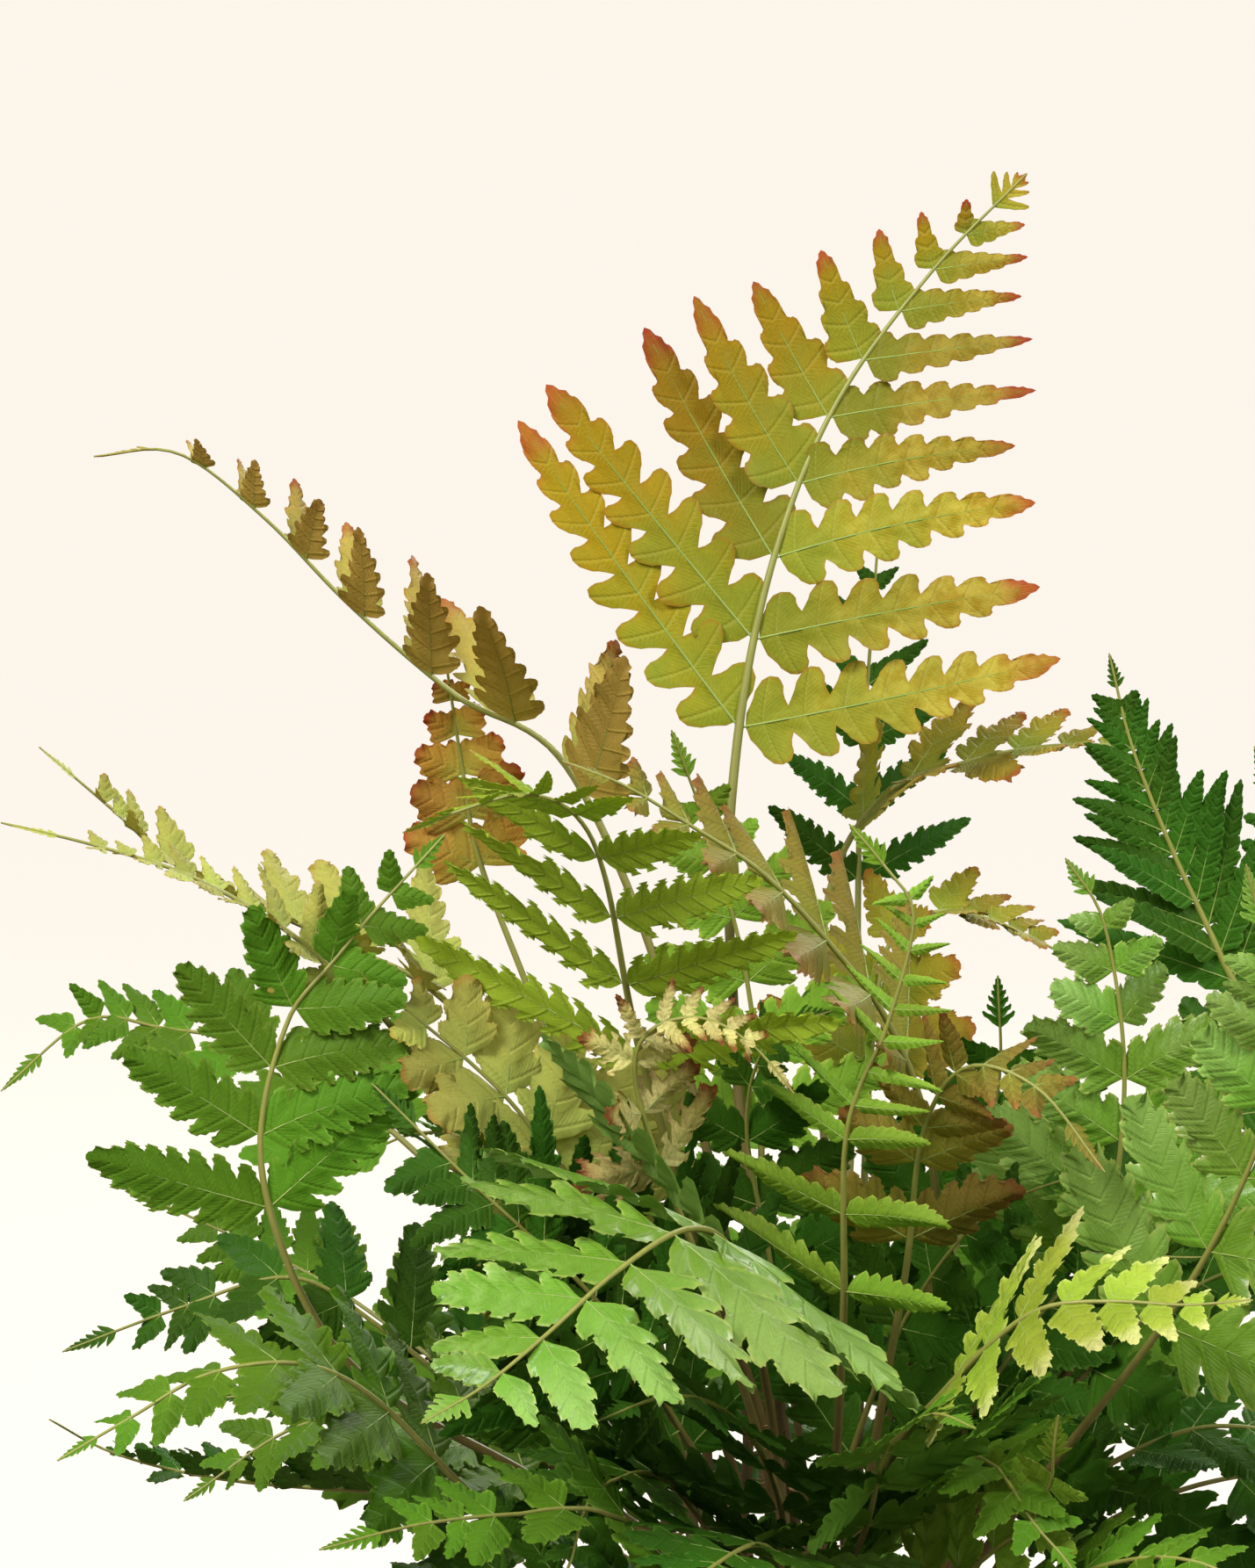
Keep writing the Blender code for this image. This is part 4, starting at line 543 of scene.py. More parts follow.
class Frond:
    """Stations along a rib, with a leaflet on each side between them and a lobed end."""

    def __init__(self, name, index, line):
        (self.finish, self.slot, self.pairs, self.longest, self.bare, self.fold, self.angle,
         facing, _) = ALL_FRONDS[name]
        self.name = name
        self.index = index
        self.random = random.Random(SEED + index)
        self.form = {**GROWN, **FORMS.get(self.finish, {}), **OWN_FORMS.get(name, {})}
        self.rib = Rib(line, facing)
        self.start = self.rib.length * self.bare
        self.blade = self.rib.length - self.start
        foot = SOCKET_LENGTH - 1
        stalk = [foot + (self.start - foot) * k / STALK_STEPS for k in range(STALK_STEPS)]
        self.shares = [
            1 - (1 - k / (self.pairs + TAIL_PAIRS)) ** CROWDING for k in range(self.pairs + 1)]
        self.stations = [0.0] + stalk + [self.start + self.blade * share for share in self.shares]
        self.first_pair = len(stalk) + 1
        self.leaflets = {}

    def radius(self, distance):
        """The solid stalk's or rib's radius, thinning first to the blade and then to the tip."""
        if distance <= self.start:
            share = max(0.0, (distance - SOCKET_LENGTH) / (self.start - SOCKET_LENGTH))
            return STALK_RADIUS + (RIB_RADIUS - STALK_RADIUS) * share
        share = (distance - self.start) / self.blade
        return RIB_RADIUS + (TIP_RADIUS - RIB_RADIUS) * share

    def ring(self, distance, margin=0.0):
        """Upper, left, lower and right corner of the solid rib."""
        centre = self.rib.point(distance)
        _, normal, side = self.rib.frame(distance)
        radius = self.radius(distance) + margin
        return [centre + normal * radius, centre + side * radius,
                centre - normal * radius, centre - side * radius]

    def tube(self):
        points = [corner for distance in self.stations for corner in self.ring(distance, TUBE_CLEARANCE)]
        points.append(self.rib.point(self.rib.length))
        faces = []
        for k in range(len(self.stations)):
            for corner in range(4):
                after = (corner + 1) % 4
                a, b = 4 * k + corner, 4 * k + after
                if k + 1 < len(self.stations):
                    faces += [(a, a + 4, b + 4), (a, b + 4, b)]
                else:
                    faces.append((a, len(points) - 1, b))
        return points, faces

    def leaflet(self, pair, side, habits, fold_more, swing, share_of_length):
        """The leaflet of a pair on the left (side 1) or right (side -1); half pairs lie between."""
        share = float(np.interp(pair, range(self.pairs + 1), self.shares))
        distance = self.start + self.blade * share
        most, taper = SIDE_TAPERS.get(self.name, ((1.0, TAPER),) * 2)[side < 0]
        length = self.longest * most * (1 - share) ** taper * share_of_length * habits["length"]
        step = 1.0 if pair == int(pair) else 0.5
        ahead_share = float(np.interp(pair + step, range(self.pairs + 1), self.shares))
        here = self.ring(distance)
        ahead = self.ring(self.start + self.blade * ahead_share)
        corner = 1 if side > 0 else 3
        spacing = np.linalg.norm(ahead[corner] - here[corner])
        far = ahead[corner]
        if length >= NECKED_LEAFLET:
            far = here[corner] + (far - here[corner]) * NECK / spacing
        along, normal, left = self.rib.frame(distance)
        first, last = SIDE_ANGLES.get(self.name, ((self.angle, self.angle - ANGLE_LOSS),) * 2)[side < 0]
        angle = math.radians(first + (last - first) * share + swing + habits["swing"])
        fold = math.radians(self.fold + fold_more + habits["fold"])
        hang = SIDE_DROOPS.get(self.name, (DROOP, DROOP))[side < 0] + habits["droop"]
        way = left * side * math.cos(fold) + normal * math.sin(fold)
        way = way * math.sin(angle) + along * math.cos(angle)
        lobes = LOBES.get(self.name, PLAIN_LOBES)
        if length < SMALL_LEAFLET or self.name in PLAINEST:
            lobes = 1
        elif length < 2 * SMALL_LEAFLET:
            lobes = min(lobes, 2)
        width = min(LEAST_HALF_WIDTH + HALF_WIDTH_SHARE * length,
                    SPACING_SHARE * spacing * math.sin(angle), SLIMNESS * length)
        near, far = (here[corner], far) if side > 0 else (far, here[corner])
        return Leaflet(
            (near, here[0], far, here[2]), 0.5 * (here[0] + here[2]), length, way, -along * side,
            np.array([0, 0, -hang]), along * habits["sweep"], habits["roll"],
            width, lobes, habits["waves"])

    def habits(self):
        """A leaflet's small differences from its neighbours."""
        draw = self.random.uniform
        return {
            "swing": draw(-4, 4), "fold": draw(-7, 7), "length": draw(0.92, 1.04),
            "droop": draw(-0.06, 0.06), "sweep": draw(0.0, 0.12), "roll": draw(-0.35, 0.35),
            "waves": [[draw(-0.3, 0.3) for _ in range(3)] for _ in range(2)],
        }

    def grow(self, space, pairs, keep_all=False):
        """Finds each leaflet of these pairs a clear way and keeps it, or leaves it off."""
        for pair in pairs:
            for side in (1, -1):
                if (pair, side) in self.leaflets:
                    continue
                habits = self.habits()
                for fold, swing, share in WAYS_CLEAR[:16] if keep_all else WAYS_CLEAR:
                    made = self.leaflet(pair, side, habits, fold, swing, share)
                    if not space.touches(*made.hull(LEAF_CLEARANCE), skip=(self.own_tube,)):
                        self.leaflets[pair, side] = made
                        space.add(*made.hull(0.0))
                        break
                else:
                    if keep_all:
                        self.leaflets[pair, side] = self.leaflet(pair, side, habits, 0, 0, 0.9)

    def gaps_between(self):
        """Pairs left off, and half pairs where the neighbouring leaflets leave room for one more."""
        wanted = list(range(self.pairs))
        for pair in range(self.pairs - 1):
            spacing = self.blade * (self.shares[pair + 1] - self.shares[pair])
            lengths = [self.leaflets[pair, side].length for side in (1, -1) if (pair, side) in self.leaflets]
            room = 0.5 * spacing * math.sin(math.radians(self.angle))
            if lengths and room > self.form["room_for_more"] * (self.form["widest"] * max(lengths) + 1.6):
                wanted.append(pair + 0.5)
        return wanted

    def end_room(self):
        """Half the width of the frond's end, level with the leaflets before it."""
        share = self.shares[-1]
        taper = min(taper for _, taper in SIDE_TAPERS.get(self.name, ((1.0, TAPER),) * 2))
        return self.longest * (1 - share) ** taper * math.sin(math.radians(self.angle - ANGLE_LOSS))

    def room(self, pair, side):
        """Half the width that a leaflet has between its neighbours on the same side."""
        here = float(np.interp(pair, range(self.pairs + 1), self.shares))
        others = [float(np.interp(other, range(self.pairs + 1), self.shares))
                  for other, own_side in self.leaflets if own_side == side and other != pair]
        others.append(float(self.shares[-1]))
        before = [here - other for other in others if other < here]
        after = [other - here for other in others if other > here]
        near = [min(gaps) for gaps in (before, after) if gaps]
        first, last = SIDE_ANGLES.get(self.name, ((self.angle, self.angle - ANGLE_LOSS),) * 2)[side < 0]
        angle = math.radians(first + (last - first) * here)
        return 0.5 * self.blade * sum(near) / len(near) * math.sin(angle)


class EndLeaflet(Leaflet):
    """The lobed end of a frond, which follows its rib."""

    def __init__(self, frond):
        self.rib = frond.rib
        self.begins = frond.stations[-1]
        left = self.rib.length - self.begins
        ring = frond.ring(self.begins)
        super().__init__(
            (ring[1], ring[0], ring[3], ring[2]), None, left, None, None, None, None, 0,
            min(END_SHARE * left, END_HALF_WIDTH), 2 if left > TWO_LOBED_END else 1, [[0.0] * 3] * 2)

    def path(self, share):
        made = []
        for part in share:
            distance = self.begins + self.length * part
            along, normal, side = self.rib.frame(distance)
            beyond = max(0.0, distance - self.rib.length)
            made.append((self.rib.point(distance) + along * beyond, along, side, normal))
        return tuple(np.array(column) for column in zip(*made))


def grow_fronds():
    """Every frond with its leaflets, each clear of what is already there, then those between."""
    fronds = [
        Frond(name, index, line)
        for index, (name, line) in enumerate(zip(ALL_FRONDS, rib_lines()))]
    space = Space()
    points, faces = turned(pot_profile(), 40)
    space.add(points, triangles(faces))
    for number, frond in enumerate(fronds):
        frond.own_tube = number + 1
        space.add(*frond.tube())
    for frond in fronds:
        frond.end = EndLeaflet(frond)
        space.add(*frond.end.hull(0.0))
    for frond in fronds:
        frond.grow(space, range(frond.pairs))
    for frond in fronds:
        frond.grow(space, frond.gaps_between(), keep_all=True)
    return fronds


# Fine leaflets: lobes along each side of a midrib, each lobe a grid of rows from the midrib to its
# tip and three columns (near border, vein, far border). The rows up to the notch are shared
# with the next lobe; the rows beyond it are the lobe's own, with teeth.

NEAR, VEIN, FAR = 0, 1, 2
TOP_FACE, LOW_FACE = 0, 1
NOTCH_ROW = 2
END_ROWS = 4
# How a leaflet narrows to its tip while it is short; grown ones keep their width for longer
YOUNG_OUTLINE = 1.25
patterns = {}


def grid_faces(grid):
    """Triangles of a grid; the same for both faces of a leaflet, so that neither shows through."""
    quads = np.stack([grid[:-1, :-1], grid[:-1, 1:], grid[1:, 1:], grid[1:, :-1]], axis=-1).reshape(-1, 4)
    return np.vstack([quads[:, [0, 1, 2]], quads[:, [0, 2, 3]]])


def blade_pattern(lobes, rows):
    """The faces of a leaflet with this many lobes and rows, and which grid point each corner is."""
    if (lobes, rows) in patterns:
        return patterns[lobes, rows]
    body = np.arange(2 * lobes * (rows + 1) * 3 * 2).reshape(2, lobes, rows + 1, 3, 2)
    end = body.size + np.arange((END_ROWS + 1) * (2 * NOTCH_ROW + 1) * 2).reshape(
        END_ROWS + 1, 2 * NOTCH_ROW + 1, 2)
    same = list(range(body.size + end.size))

    def first_of(k):
        while same[k] != k:
            k = same[k]
        return k

    def join(some, others):
        for a, b in zip(np.ravel(some), np.ravel(others)):
            a, b = first_of(int(a)), first_of(int(b))
            same[max(a, b)] = min(a, b)

    joined = slice(0, NOTCH_ROW + 1)
    free = slice(NOTCH_ROW, rows + 1)
    join(body[1, :, 0], body[0, :, 0])
    join(body[:, 1:, joined, NEAR], body[:, :-1, joined, FAR])
    join(body[:, :, rows, NEAR], body[:, :, rows, VEIN])
    join(body[:, :, rows, FAR], body[:, :, rows, VEIN])
    for column in (NEAR, FAR):
        join(body[:, :, free, column, LOW_FACE], body[:, :, free, column, TOP_FACE])
    join(body[:, :, rows, :, LOW_FACE], body[:, :, rows, :, TOP_FACE])
    join(body[:, 0, joined, NEAR, LOW_FACE], body[:, 0, joined, NEAR, TOP_FACE])
    for step in range(NOTCH_ROW + 1):
        join(end[0, NOTCH_ROW + step], body[0, -1, step, FAR])
        join(end[0, NOTCH_ROW - step], body[1, -1, step, FAR])
    for column in (0, 2 * NOTCH_ROW):
        join(end[:, column, LOW_FACE], end[:, column, TOP_FACE])
    join(end[END_ROWS], np.full(end[END_ROWS].shape, end[END_ROWS, NOTCH_ROW, TOP_FACE]))

    parts = []
    for side in (0, 1):
        for lobe in range(lobes):
            for layer in (TOP_FACE, LOW_FACE):
                made = grid_faces(body[side, lobe, :, :, layer])
                parts.append(made if side == layer else made[:, ::-1])
    for layer in (TOP_FACE, LOW_FACE):
        made = grid_faces(end[:, :, layer])
        parts.append(made[:, ::-1] if layer == TOP_FACE else made)
    kept = sorted({first_of(k) for k in range(len(same))})
    place = {k: number for number, k in enumerate(kept)}
    faces = []
    for part in np.vstack(parts):
        corners = [place[first_of(int(k))] for k in part]
        if len(set(corners)) == 3:
            faces.append(corners)
    outline = np.array([k % 2 == 0 and first_of(k + 1) == k for k in kept])
    patterns[lobes, rows] = (np.array(kept), outline, faces)
    return patterns[lobes, rows]


def smooth_step(value, low, high):
    share = np.clip((value - low) / (high - low), 0, 1)
    return share * share * (3 - 2 * share)


def fine_leaflet(made, form, draw, room):
    """Points in millimetres, faces and shader values of one lobed leaflet."""
    length = made.length * form["stretch"]
    if isinstance(made, EndLeaflet):
        form = {**form, **END_FORM}
        length = made.length
        width = form["fill"] * room
        neck = 0.0
    else:
        width = min(form["fill"] * room, form["widest"] * length + 1.6)
        neck = min(form["neck"] * length, 3.5)
    pitch = form["pitch"] * width + 0.7
    lobes = int(np.clip(round(0.95 * (length - neck) / pitch), 3, form["most_lobes"]))
    rows = 8 if width > 9 else 6 if width > 6 else 5
    young = 1 - smooth_step(length, *form["grown_from"])
    kept, outline, faces = blade_pattern(lobes, rows)

    count = np.arange(lobes + 1)
    share = 1 - (1 - count / (lobes + 1.5)) ** 1.3
    edge = neck + (length - neck) * share
    size = np.diff(edge)
    vein_x = edge[:-1] + 0.42 * size
    lean = np.radians(form["lean"][0] + (form["lean"][1] - form["lean"][0]) * vein_x / length)

    def reach_at(x):
        part = np.clip(x / length, 0, 1)
        rise = 0.84 + 0.16 * np.minimum(1, part / 0.14)
        rise = rise + (1 - rise) * young
        power = form["outline"][0] + (YOUNG_OUTLINE - form["outline"][0]) * young
        return width * rise * (1 - part ** power) ** form["outline"][1]

    def spread(low, high, *shape):
        return draw.uniform(low, high, shape)

    lean = lean[None] + np.radians(spread(-3, 3, 2, lobes))
    reach = reach_at(vein_x + 0.45 * reach_at(vein_x) / np.tan(lean[0]))[None] * spread(0.93, 1.06, 2, lobes)
    vein_length = np.maximum(reach, 0.35) / np.sin(lean)

    def at_borders(values):
        between = 0.5 * (values[:, 1:] + values[:, :-1])
        return np.concatenate([values[:, :1], between, values[:, -1:]], axis=1)

    border_lean = at_borders(lean)
    border_length = at_borders(vein_length)
    deep = np.clip(form["shallow"] - length / form["deep_from"], form["least_notch"], form["most_notch"])
    notch = deep + (0.9 - deep) * smooth_step(edge / length, form["deep_until"], 1.08)
    notch = np.clip(notch[None] + spread(-0.04, 0.04, 2, lobes + 1), 0.06, 0.93)
    notches = np.stack([notch[:, :-1], 0.5 * (notch[:, :-1] + notch[:, 1:]), notch[:, 1:]], axis=-1)

    row = np.arange(rows + 1)
    freed = 1 - (1 - np.clip((row - NOTCH_ROW) / (rows - NOTCH_ROW), 0, 1)) ** 1.35
    is_free = (row > NOTCH_ROW)[None, None, :, None]
    joined_part = np.minimum(row / NOTCH_ROW, 1)[None, None, :, None]
    freed_part = freed[None, None, :, None]
    t = notches[:, :, None, :] * joined_part + (1 - notches[:, :, None, :]) * freed_part
    bend = form["bend"]

    def on_line(start, way, line_length, t):
        x = start + t * line_length * np.cos(way) + bend * line_length * t ** 2
        return x, t * line_length * np.sin(way) * (1 - 0.25 * bend * t)

    lift = [value[:, :, None, None] for value in (lean, vein_length)]
    x, y = on_line(vein_x[None, :, None, None], lift[0], lift[1], t)
    x_vein = x.copy()
    round_off = np.sqrt(np.maximum(0, 1 - freed ** form["roundness"]))
    shape = (1 - form["slit"] * np.minimum(1, freed / 0.3)) * round_off
    teeth = np.where((row - NOTCH_ROW) % 2 == 1, 1.0, -0.45) * smooth_step(freed, 0.0, 0.5)
    teeth *= form["tooth"] * (row > NOTCH_ROW) * (row < rows)
    for column, sign, part in ((NEAR, -1, slice(0, lobes)), (FAR, 1, slice(1, lobes + 1))):
        start = edge[None, part, None]
        way = border_lean[:, part, None]
        long = border_length[:, part, None]
        border_x, border_y = on_line(start, way, long, t[..., column])
        notch_t = notch[:, part, None]
        corner_x, corner_y = on_line(start, way, long, notch_t)
        own_x, own_y = on_line(vein_x[None, :, None], lean[..., None], vein_length[..., None], notch_t)
        scale = np.minimum(1, size / 4.0)[None, :, None]
        free_x = x_vein[..., column] + (corner_x - own_x) * shape + sign * teeth * scale
        free_y = y[..., column] + (corner_y - own_y) * (1 - freed) + 0.35 * teeth * scale
        free_now = np.broadcast_to(is_free[..., 0], border_x.shape)
        x[..., column] = np.where(free_now, free_x, border_x)
        y[..., column] = np.where(free_now, free_y, border_y)
    y[:, :, rows, VEIN] += 0.4 * form["tooth"]

    off_vein = x - x_vein
    freed_here = np.broadcast_to(freed_part, x.shape)
    tilt = spread(-1, 1, 2, lobes)[..., None, None] * form["tilt"]
    curl = (form["curl"] + spread(-1, 1, 2, lobes) * form["curl_change"])[..., None, None]
    half = 0.5 * size[None, :, None, None]
    z = y * form["keel"] + tilt * off_vein * freed_here
    z = z - form["dome"] * off_vein ** 2 / np.maximum(half, 0.5) * np.minimum(1, y / 2.5)
    z = z - curl * t ** 2 * vein_length[..., None, None]
    z = z + form["ruffle"] * spread(-1, 1, *x.shape) * np.where(is_free, freed_here ** 0.5, 0.0)
    z = z + form["wave"] * np.sin(x / form["wave_length"] + draw.uniform(0, 6)) * y

    margin = np.zeros_like(x)
    margin[..., VEIN] = smooth_step(t[..., VEIN], 0.6, 1.0)
    for column in (NEAR, FAR):
        margin[..., column] = np.where(row >= NOTCH_ROW, 1.0, 0.3)[None, None]
    margin[:, 0, :, NEAR] = 1.0
    margin[:, :, 0, :] = 0.0

    steps = np.arange(END_ROWS + 1) / END_ROWS
    columns = np.arange(-NOTCH_ROW, NOTCH_ROW + 1) / NOTCH_ROW
    tip_length = length - edge[-1]
    tip_wide = 0.5 * (y[0, -1, NOTCH_ROW, FAR] + y[1, -1, NOTCH_ROW, FAR])
    toothed = tip_wide * (1 - steps) ** 0.8 * (1 + np.where(np.arange(END_ROWS + 1) % 2, 0.18, -0.05))
    end_y = np.abs(columns)[None] * toothed[:, None]
    end_x = edge[-1] + tip_length * steps[:, None] + 0.7 * end_y
    end_sign = np.sign(columns)[None] * np.ones_like(end_y)

    sides = np.array([1.0, -1.0])[:, None, None, None] * np.ones_like(x)
    thick = np.where(row == 0, 0.16, 0.1)[None, None, :, None] * np.ones_like(x)
    flat = {
        "x": (x, end_x), "y": (y * sides, end_y * end_sign),
        "z": (z, end_y * form["keel"]), "thick": (thick, np.full(end_x.shape, 0.1)),
        "lobe_across": (np.abs(off_vein), np.full(end_x.shape, 9.0)),
        "lobe_along": (t * vein_length[..., None, None], end_y),
        "margin": (margin, np.abs(columns)[None] ** 2 * np.ones_like(end_x)),
    }
    flat = {
        key: np.concatenate([np.repeat(a.reshape(-1), 2), np.repeat(b.reshape(-1), 2)])[kept]
        for key, (a, b) in flat.items()}
    upper = np.where(outline, 0.5, 1.0 - kept % 2)
    centre, _, outward, normal = made.path(flat["x"] / made.length)
    height = flat["z"] + flat["thick"] * (2 * upper - 1)
    points = centre + outward * flat["y"][:, None] + normal * height[:, None]
    values = {
        "along": flat["x"] / length, "across": np.abs(flat["y"]), "lobe_across": flat["lobe_across"],
        "lobe_along": flat["lobe_along"], "margin": flat["margin"], "upper": upper}
    return points, faces, values


# How each finish's leaflets are shaped. What isn't given is as in GROWN.
# room_for_more: one more leaflet goes between two whose room is this many times their greatest width.
GROWN = {
    "stretch": 1.16, "fill": 1.2, "right_fill": 1.0, "widest": 0.25, "room_for_more": 1.15, "pitch": 0.58,
    "neck": 0.02, "most_lobes": 9, "lean": (66, 44), "outline": (2.2, 0.9), "grown_from": (12.0, 34.0),
    "shallow": 1.0, "deep_from": 90.0, "deep_until": 0.05, "least_notch": 0.3,
    "most_notch": 0.8, "bend": 0.12,
    "roundness": 2.5, "slit": 0.2, "tooth": 0.42, "keel": 0.06, "tilt": 0.2, "curl": 0.1,
    "curl_change": 0.14, "dome": 0.26, "ruffle": 0.13, "wave": 0.08, "wave_length": 8.0,
}
FORMS = {
    "tall": {"stretch": 1.0, "fill": 1.55, "right_fill": 0.74, "lean": (82, 50), "outline": (2.4, 0.95),
             "grown_from": (45.0, 105.0), "roundness": 3.0, "slit": 0.24, "tooth": 0.12, "bend": 0.1,
             "least_notch": 0.22, "shallow": 1.1, "deep_from": 125.0, "pitch": 0.78,
             "deep_until": 0.5,
             "curl": 0.05, "curl_change": 0.08, "dome": 0.16, "ruffle": 0.05, "tilt": 0.1},
    "copper": {"curl": 0.12, "ruffle": 0.15, "keel": 0.1, "fill": 1.0, "pitch": 0.6},
    "red_copper": {"curl": 0.1, "ruffle": 0.12, "keel": 0.1, "fill": 1.3, "pitch": 0.6, "widest": 0.4,
                   "stretch": 1.2},
    "straw": {"curl": 0.12, "ruffle": 0.15, "wave": 0.1, "pitch": 0.6},
    "lime": {"widest": 0.16, "fill": 0.9, "slit": 0.4, "tooth": 0.9, "curl": 0.14,
             "deep_from": 120.0, "bend": 0.25, "least_notch": 0.22},
    "brown": {"curl": 0.3, "ruffle": 0.25, "keel": -0.15, "fill": 1.1, "pitch": 0.6},
    "glossy": {"slit": 0.16, "dome": 0.4, "tooth": 0.4, "roundness": 3.0, "tilt": 0.3, "fill": 1.3,
               "outline": (3.0, 0.8), "stretch": 1.2, "deep_from": 80.0, "least_notch": 0.35, "pitch": 0.5},
    "crinkled": {"curl": 0.4, "curl_change": 0.5, "ruffle": 0.6, "wave": 0.4, "keel": 0.3, "tilt": 0.6,
                 "pitch": 0.5, "slit": 0.4, "tooth": 0.8, "least_notch": 0.15, "shallow": 0.4},
    "pale": {"curl": 0.05, "pitch": 0.6, "deep_from": 80.0},
}
# What a single frond does otherwise than its finish.
OWN_FORMS = {
    "copper_left_high": {"widest": 0.2, "stretch": 1.12, "grown_from": (40.0, 80.0), "fill": 1.0,
                         "room_for_more": 9.0, "tooth": 0.15, "least_notch": 0.62},
    "copper_pale_left": {"fill": 2.2, "stretch": 1.35, "widest": 0.36},
    "green_right_upright": {"room_for_more": 0.0, "fill": 2.0, "least_notch": 0.62, "most_notch": 0.86},
    "green_back_thin": {"fill": 0.7, "slit": 0.3},
    "green_left_bottom": {"fill": 1.5, "stretch": 1.4, "outline": (2.8, 0.8)},
    "green_left_low": {"fill": 1.6, "stretch": 1.3},
    "green_dark_left": {"room_for_more": 0.0, "fill": 1.6, "stretch": 1.6},
    "low_middle_left": {"fill": 1.4, "stretch": 1.5},
    "copper_left_small": {"fill": 1.9, "stretch": 1.3, "widest": 0.5, "tooth": 0.1, "room_for_more": 9.0},
    "green_right_inner": {"fill": 1.5, "stretch": 1.35},
    "olive_right_back": {"fill": 1.5, "stretch": 1.3},
    "lime_slender": {"widest": 0.2, "fill": 0.5, "stretch": 0.95, "curl": 0.5, "wave": 0.25,
                     "least_notch": 0.5},
    "green_left_behind": {"fill": 1.4, "stretch": 1.25},
    "green_left_behind_low": {"fill": 1.4, "stretch": 1.25},
    "green_left_far": {"fill": 1.3, "stretch": 1.2},
    "green_left": {"fill": 1.2, "outline": (2.8, 0.85), "least_notch": 0.5, "pitch": 0.5},
}
END_FORM = {
    "outline": (1.0, 1.05), "grown_from": (0.0, 1.0), "shallow": 0.0, "least_notch": 0.16, "most_notch": 0.2,
    "pitch": 0.3, "most_lobes": 7, "lean": (60, 34), "curl": 0.0, "curl_change": 0.03, "tilt": 0.05,
    "wave": 0.0, "ruffle": 0.05, "fill": 1.0}

# Both faces of a leaflet keep their own shading up to its thin edge
EDGE_ANGLE = math.radians(85)
LEAF_SHARES = np.array([0.0, 0.08, 0.2, 0.36, 0.52, 0.68, 0.82, 0.93])


def add_object(name, mesh):
    obj = bpy.data.objects.new(name, mesh)
    bpy.context.scene.collection.objects.link(obj)
    return obj


def mesh_of(name, points, faces, values=None):
    mesh = bpy.data.meshes.new(name)
    mesh.from_pydata((np.asarray(points) * MM).tolist(), [], faces)
    for key, numbers in (values or {}).items():
        mesh.attributes.new(key, "FLOAT", "POINT").data.foreach_set("value", np.asarray(numbers, np.float32))
    mesh.validate()
    mesh.update()
    mesh.shade_smooth()
    return mesh


def lines_object(name, lines):
    """Straight-segment curves through points in millimetres, each point with its own radius."""
    curve = bpy.data.curves.new(name, "CURVE")
    curve.dimensions = "3D"
    for points, radii in lines:
        spline = curve.splines.new("POLY")
        spline.points.add(len(points) - 1)
        placed = np.ones((len(points), 4))
        placed[:, :3] = np.asarray(points) * MM
        spline.points.foreach_set("co", placed.ravel())
        spline.points.foreach_set("radius", np.asarray(radii, float) * MM)
    return add_object(name, curve)


def frond_blades(frond):
    """The leaflets' mesh, and the lines of their midribs."""
    form = frond.form
    draw = np.random.default_rng(SEED * 100 + frond.index)
    points = []
    faces = []
    values = {}
    midribs = []
    count = 0
    grown = [(pair, side, made) for (pair, side), made in sorted(frond.leaflets.items())]
    for pair, side, made in grown + [(frond.pairs, 0, frond.end)]:
        room = frond.room(pair, side) if side else frond.end_room()
        if side < 0:
            room *= form["right_fill"]
        own, own_faces, own_values = fine_leaflet(made, form, draw, room)
        age = float(np.interp(pair, range(frond.pairs + 1), frond.shares))
        own_values["age"] = np.full(len(own), age)
        own_values["chance"] = np.full(len(own), draw.uniform(0, 1))
        own_values["right"] = np.full(len(own), 1.0 if side < 0 else 0.0 if side > 0 else 0.5)
        points.append(own)
        faces += [[corner + count for corner in face] for face in own_faces]
        count += len(own)
        for key, numbers in own_values.items():
            values.setdefault(key, []).append(numbers)
        if side:
            thick = 0.17 + 0.0025 * made.length
            line = made.path(LEAF_SHARES * min(1.0, form["stretch"]))[0]
            midribs.append((line, thick + (0.12 - thick) * LEAF_SHARES))
    mesh = mesh_of(frond.name + "_leaflets", np.vstack(points), faces,
                   {key: np.concatenate(numbers) for key, numbers in values.items()})
    mesh.set_sharp_from_angle(angle=EDGE_ANGLE)
    return mesh, midribs


def stalk_line(frond):
    """The round stalk and rib: points and radii."""
    length = frond.rib.length
    reached = np.arange(2.0, length - 1.0, 4.0)
    points = [frond.rib.point(distance) for distance in reached] + [frond.rib.point(length)]
    part = np.clip((reached - frond.start) / frond.blade, 0, 1)
    foot = np.clip(reached / frond.start, 0, 1)
    at_blade = 0.8 + frond.longest / 180
    radii = 1.95 + (at_blade - 1.95) * foot
    radii = np.where(reached > frond.start, at_blade + (0.36 - at_blade) * part ** 0.8, radii)
    return points, np.append(radii, 0.25)


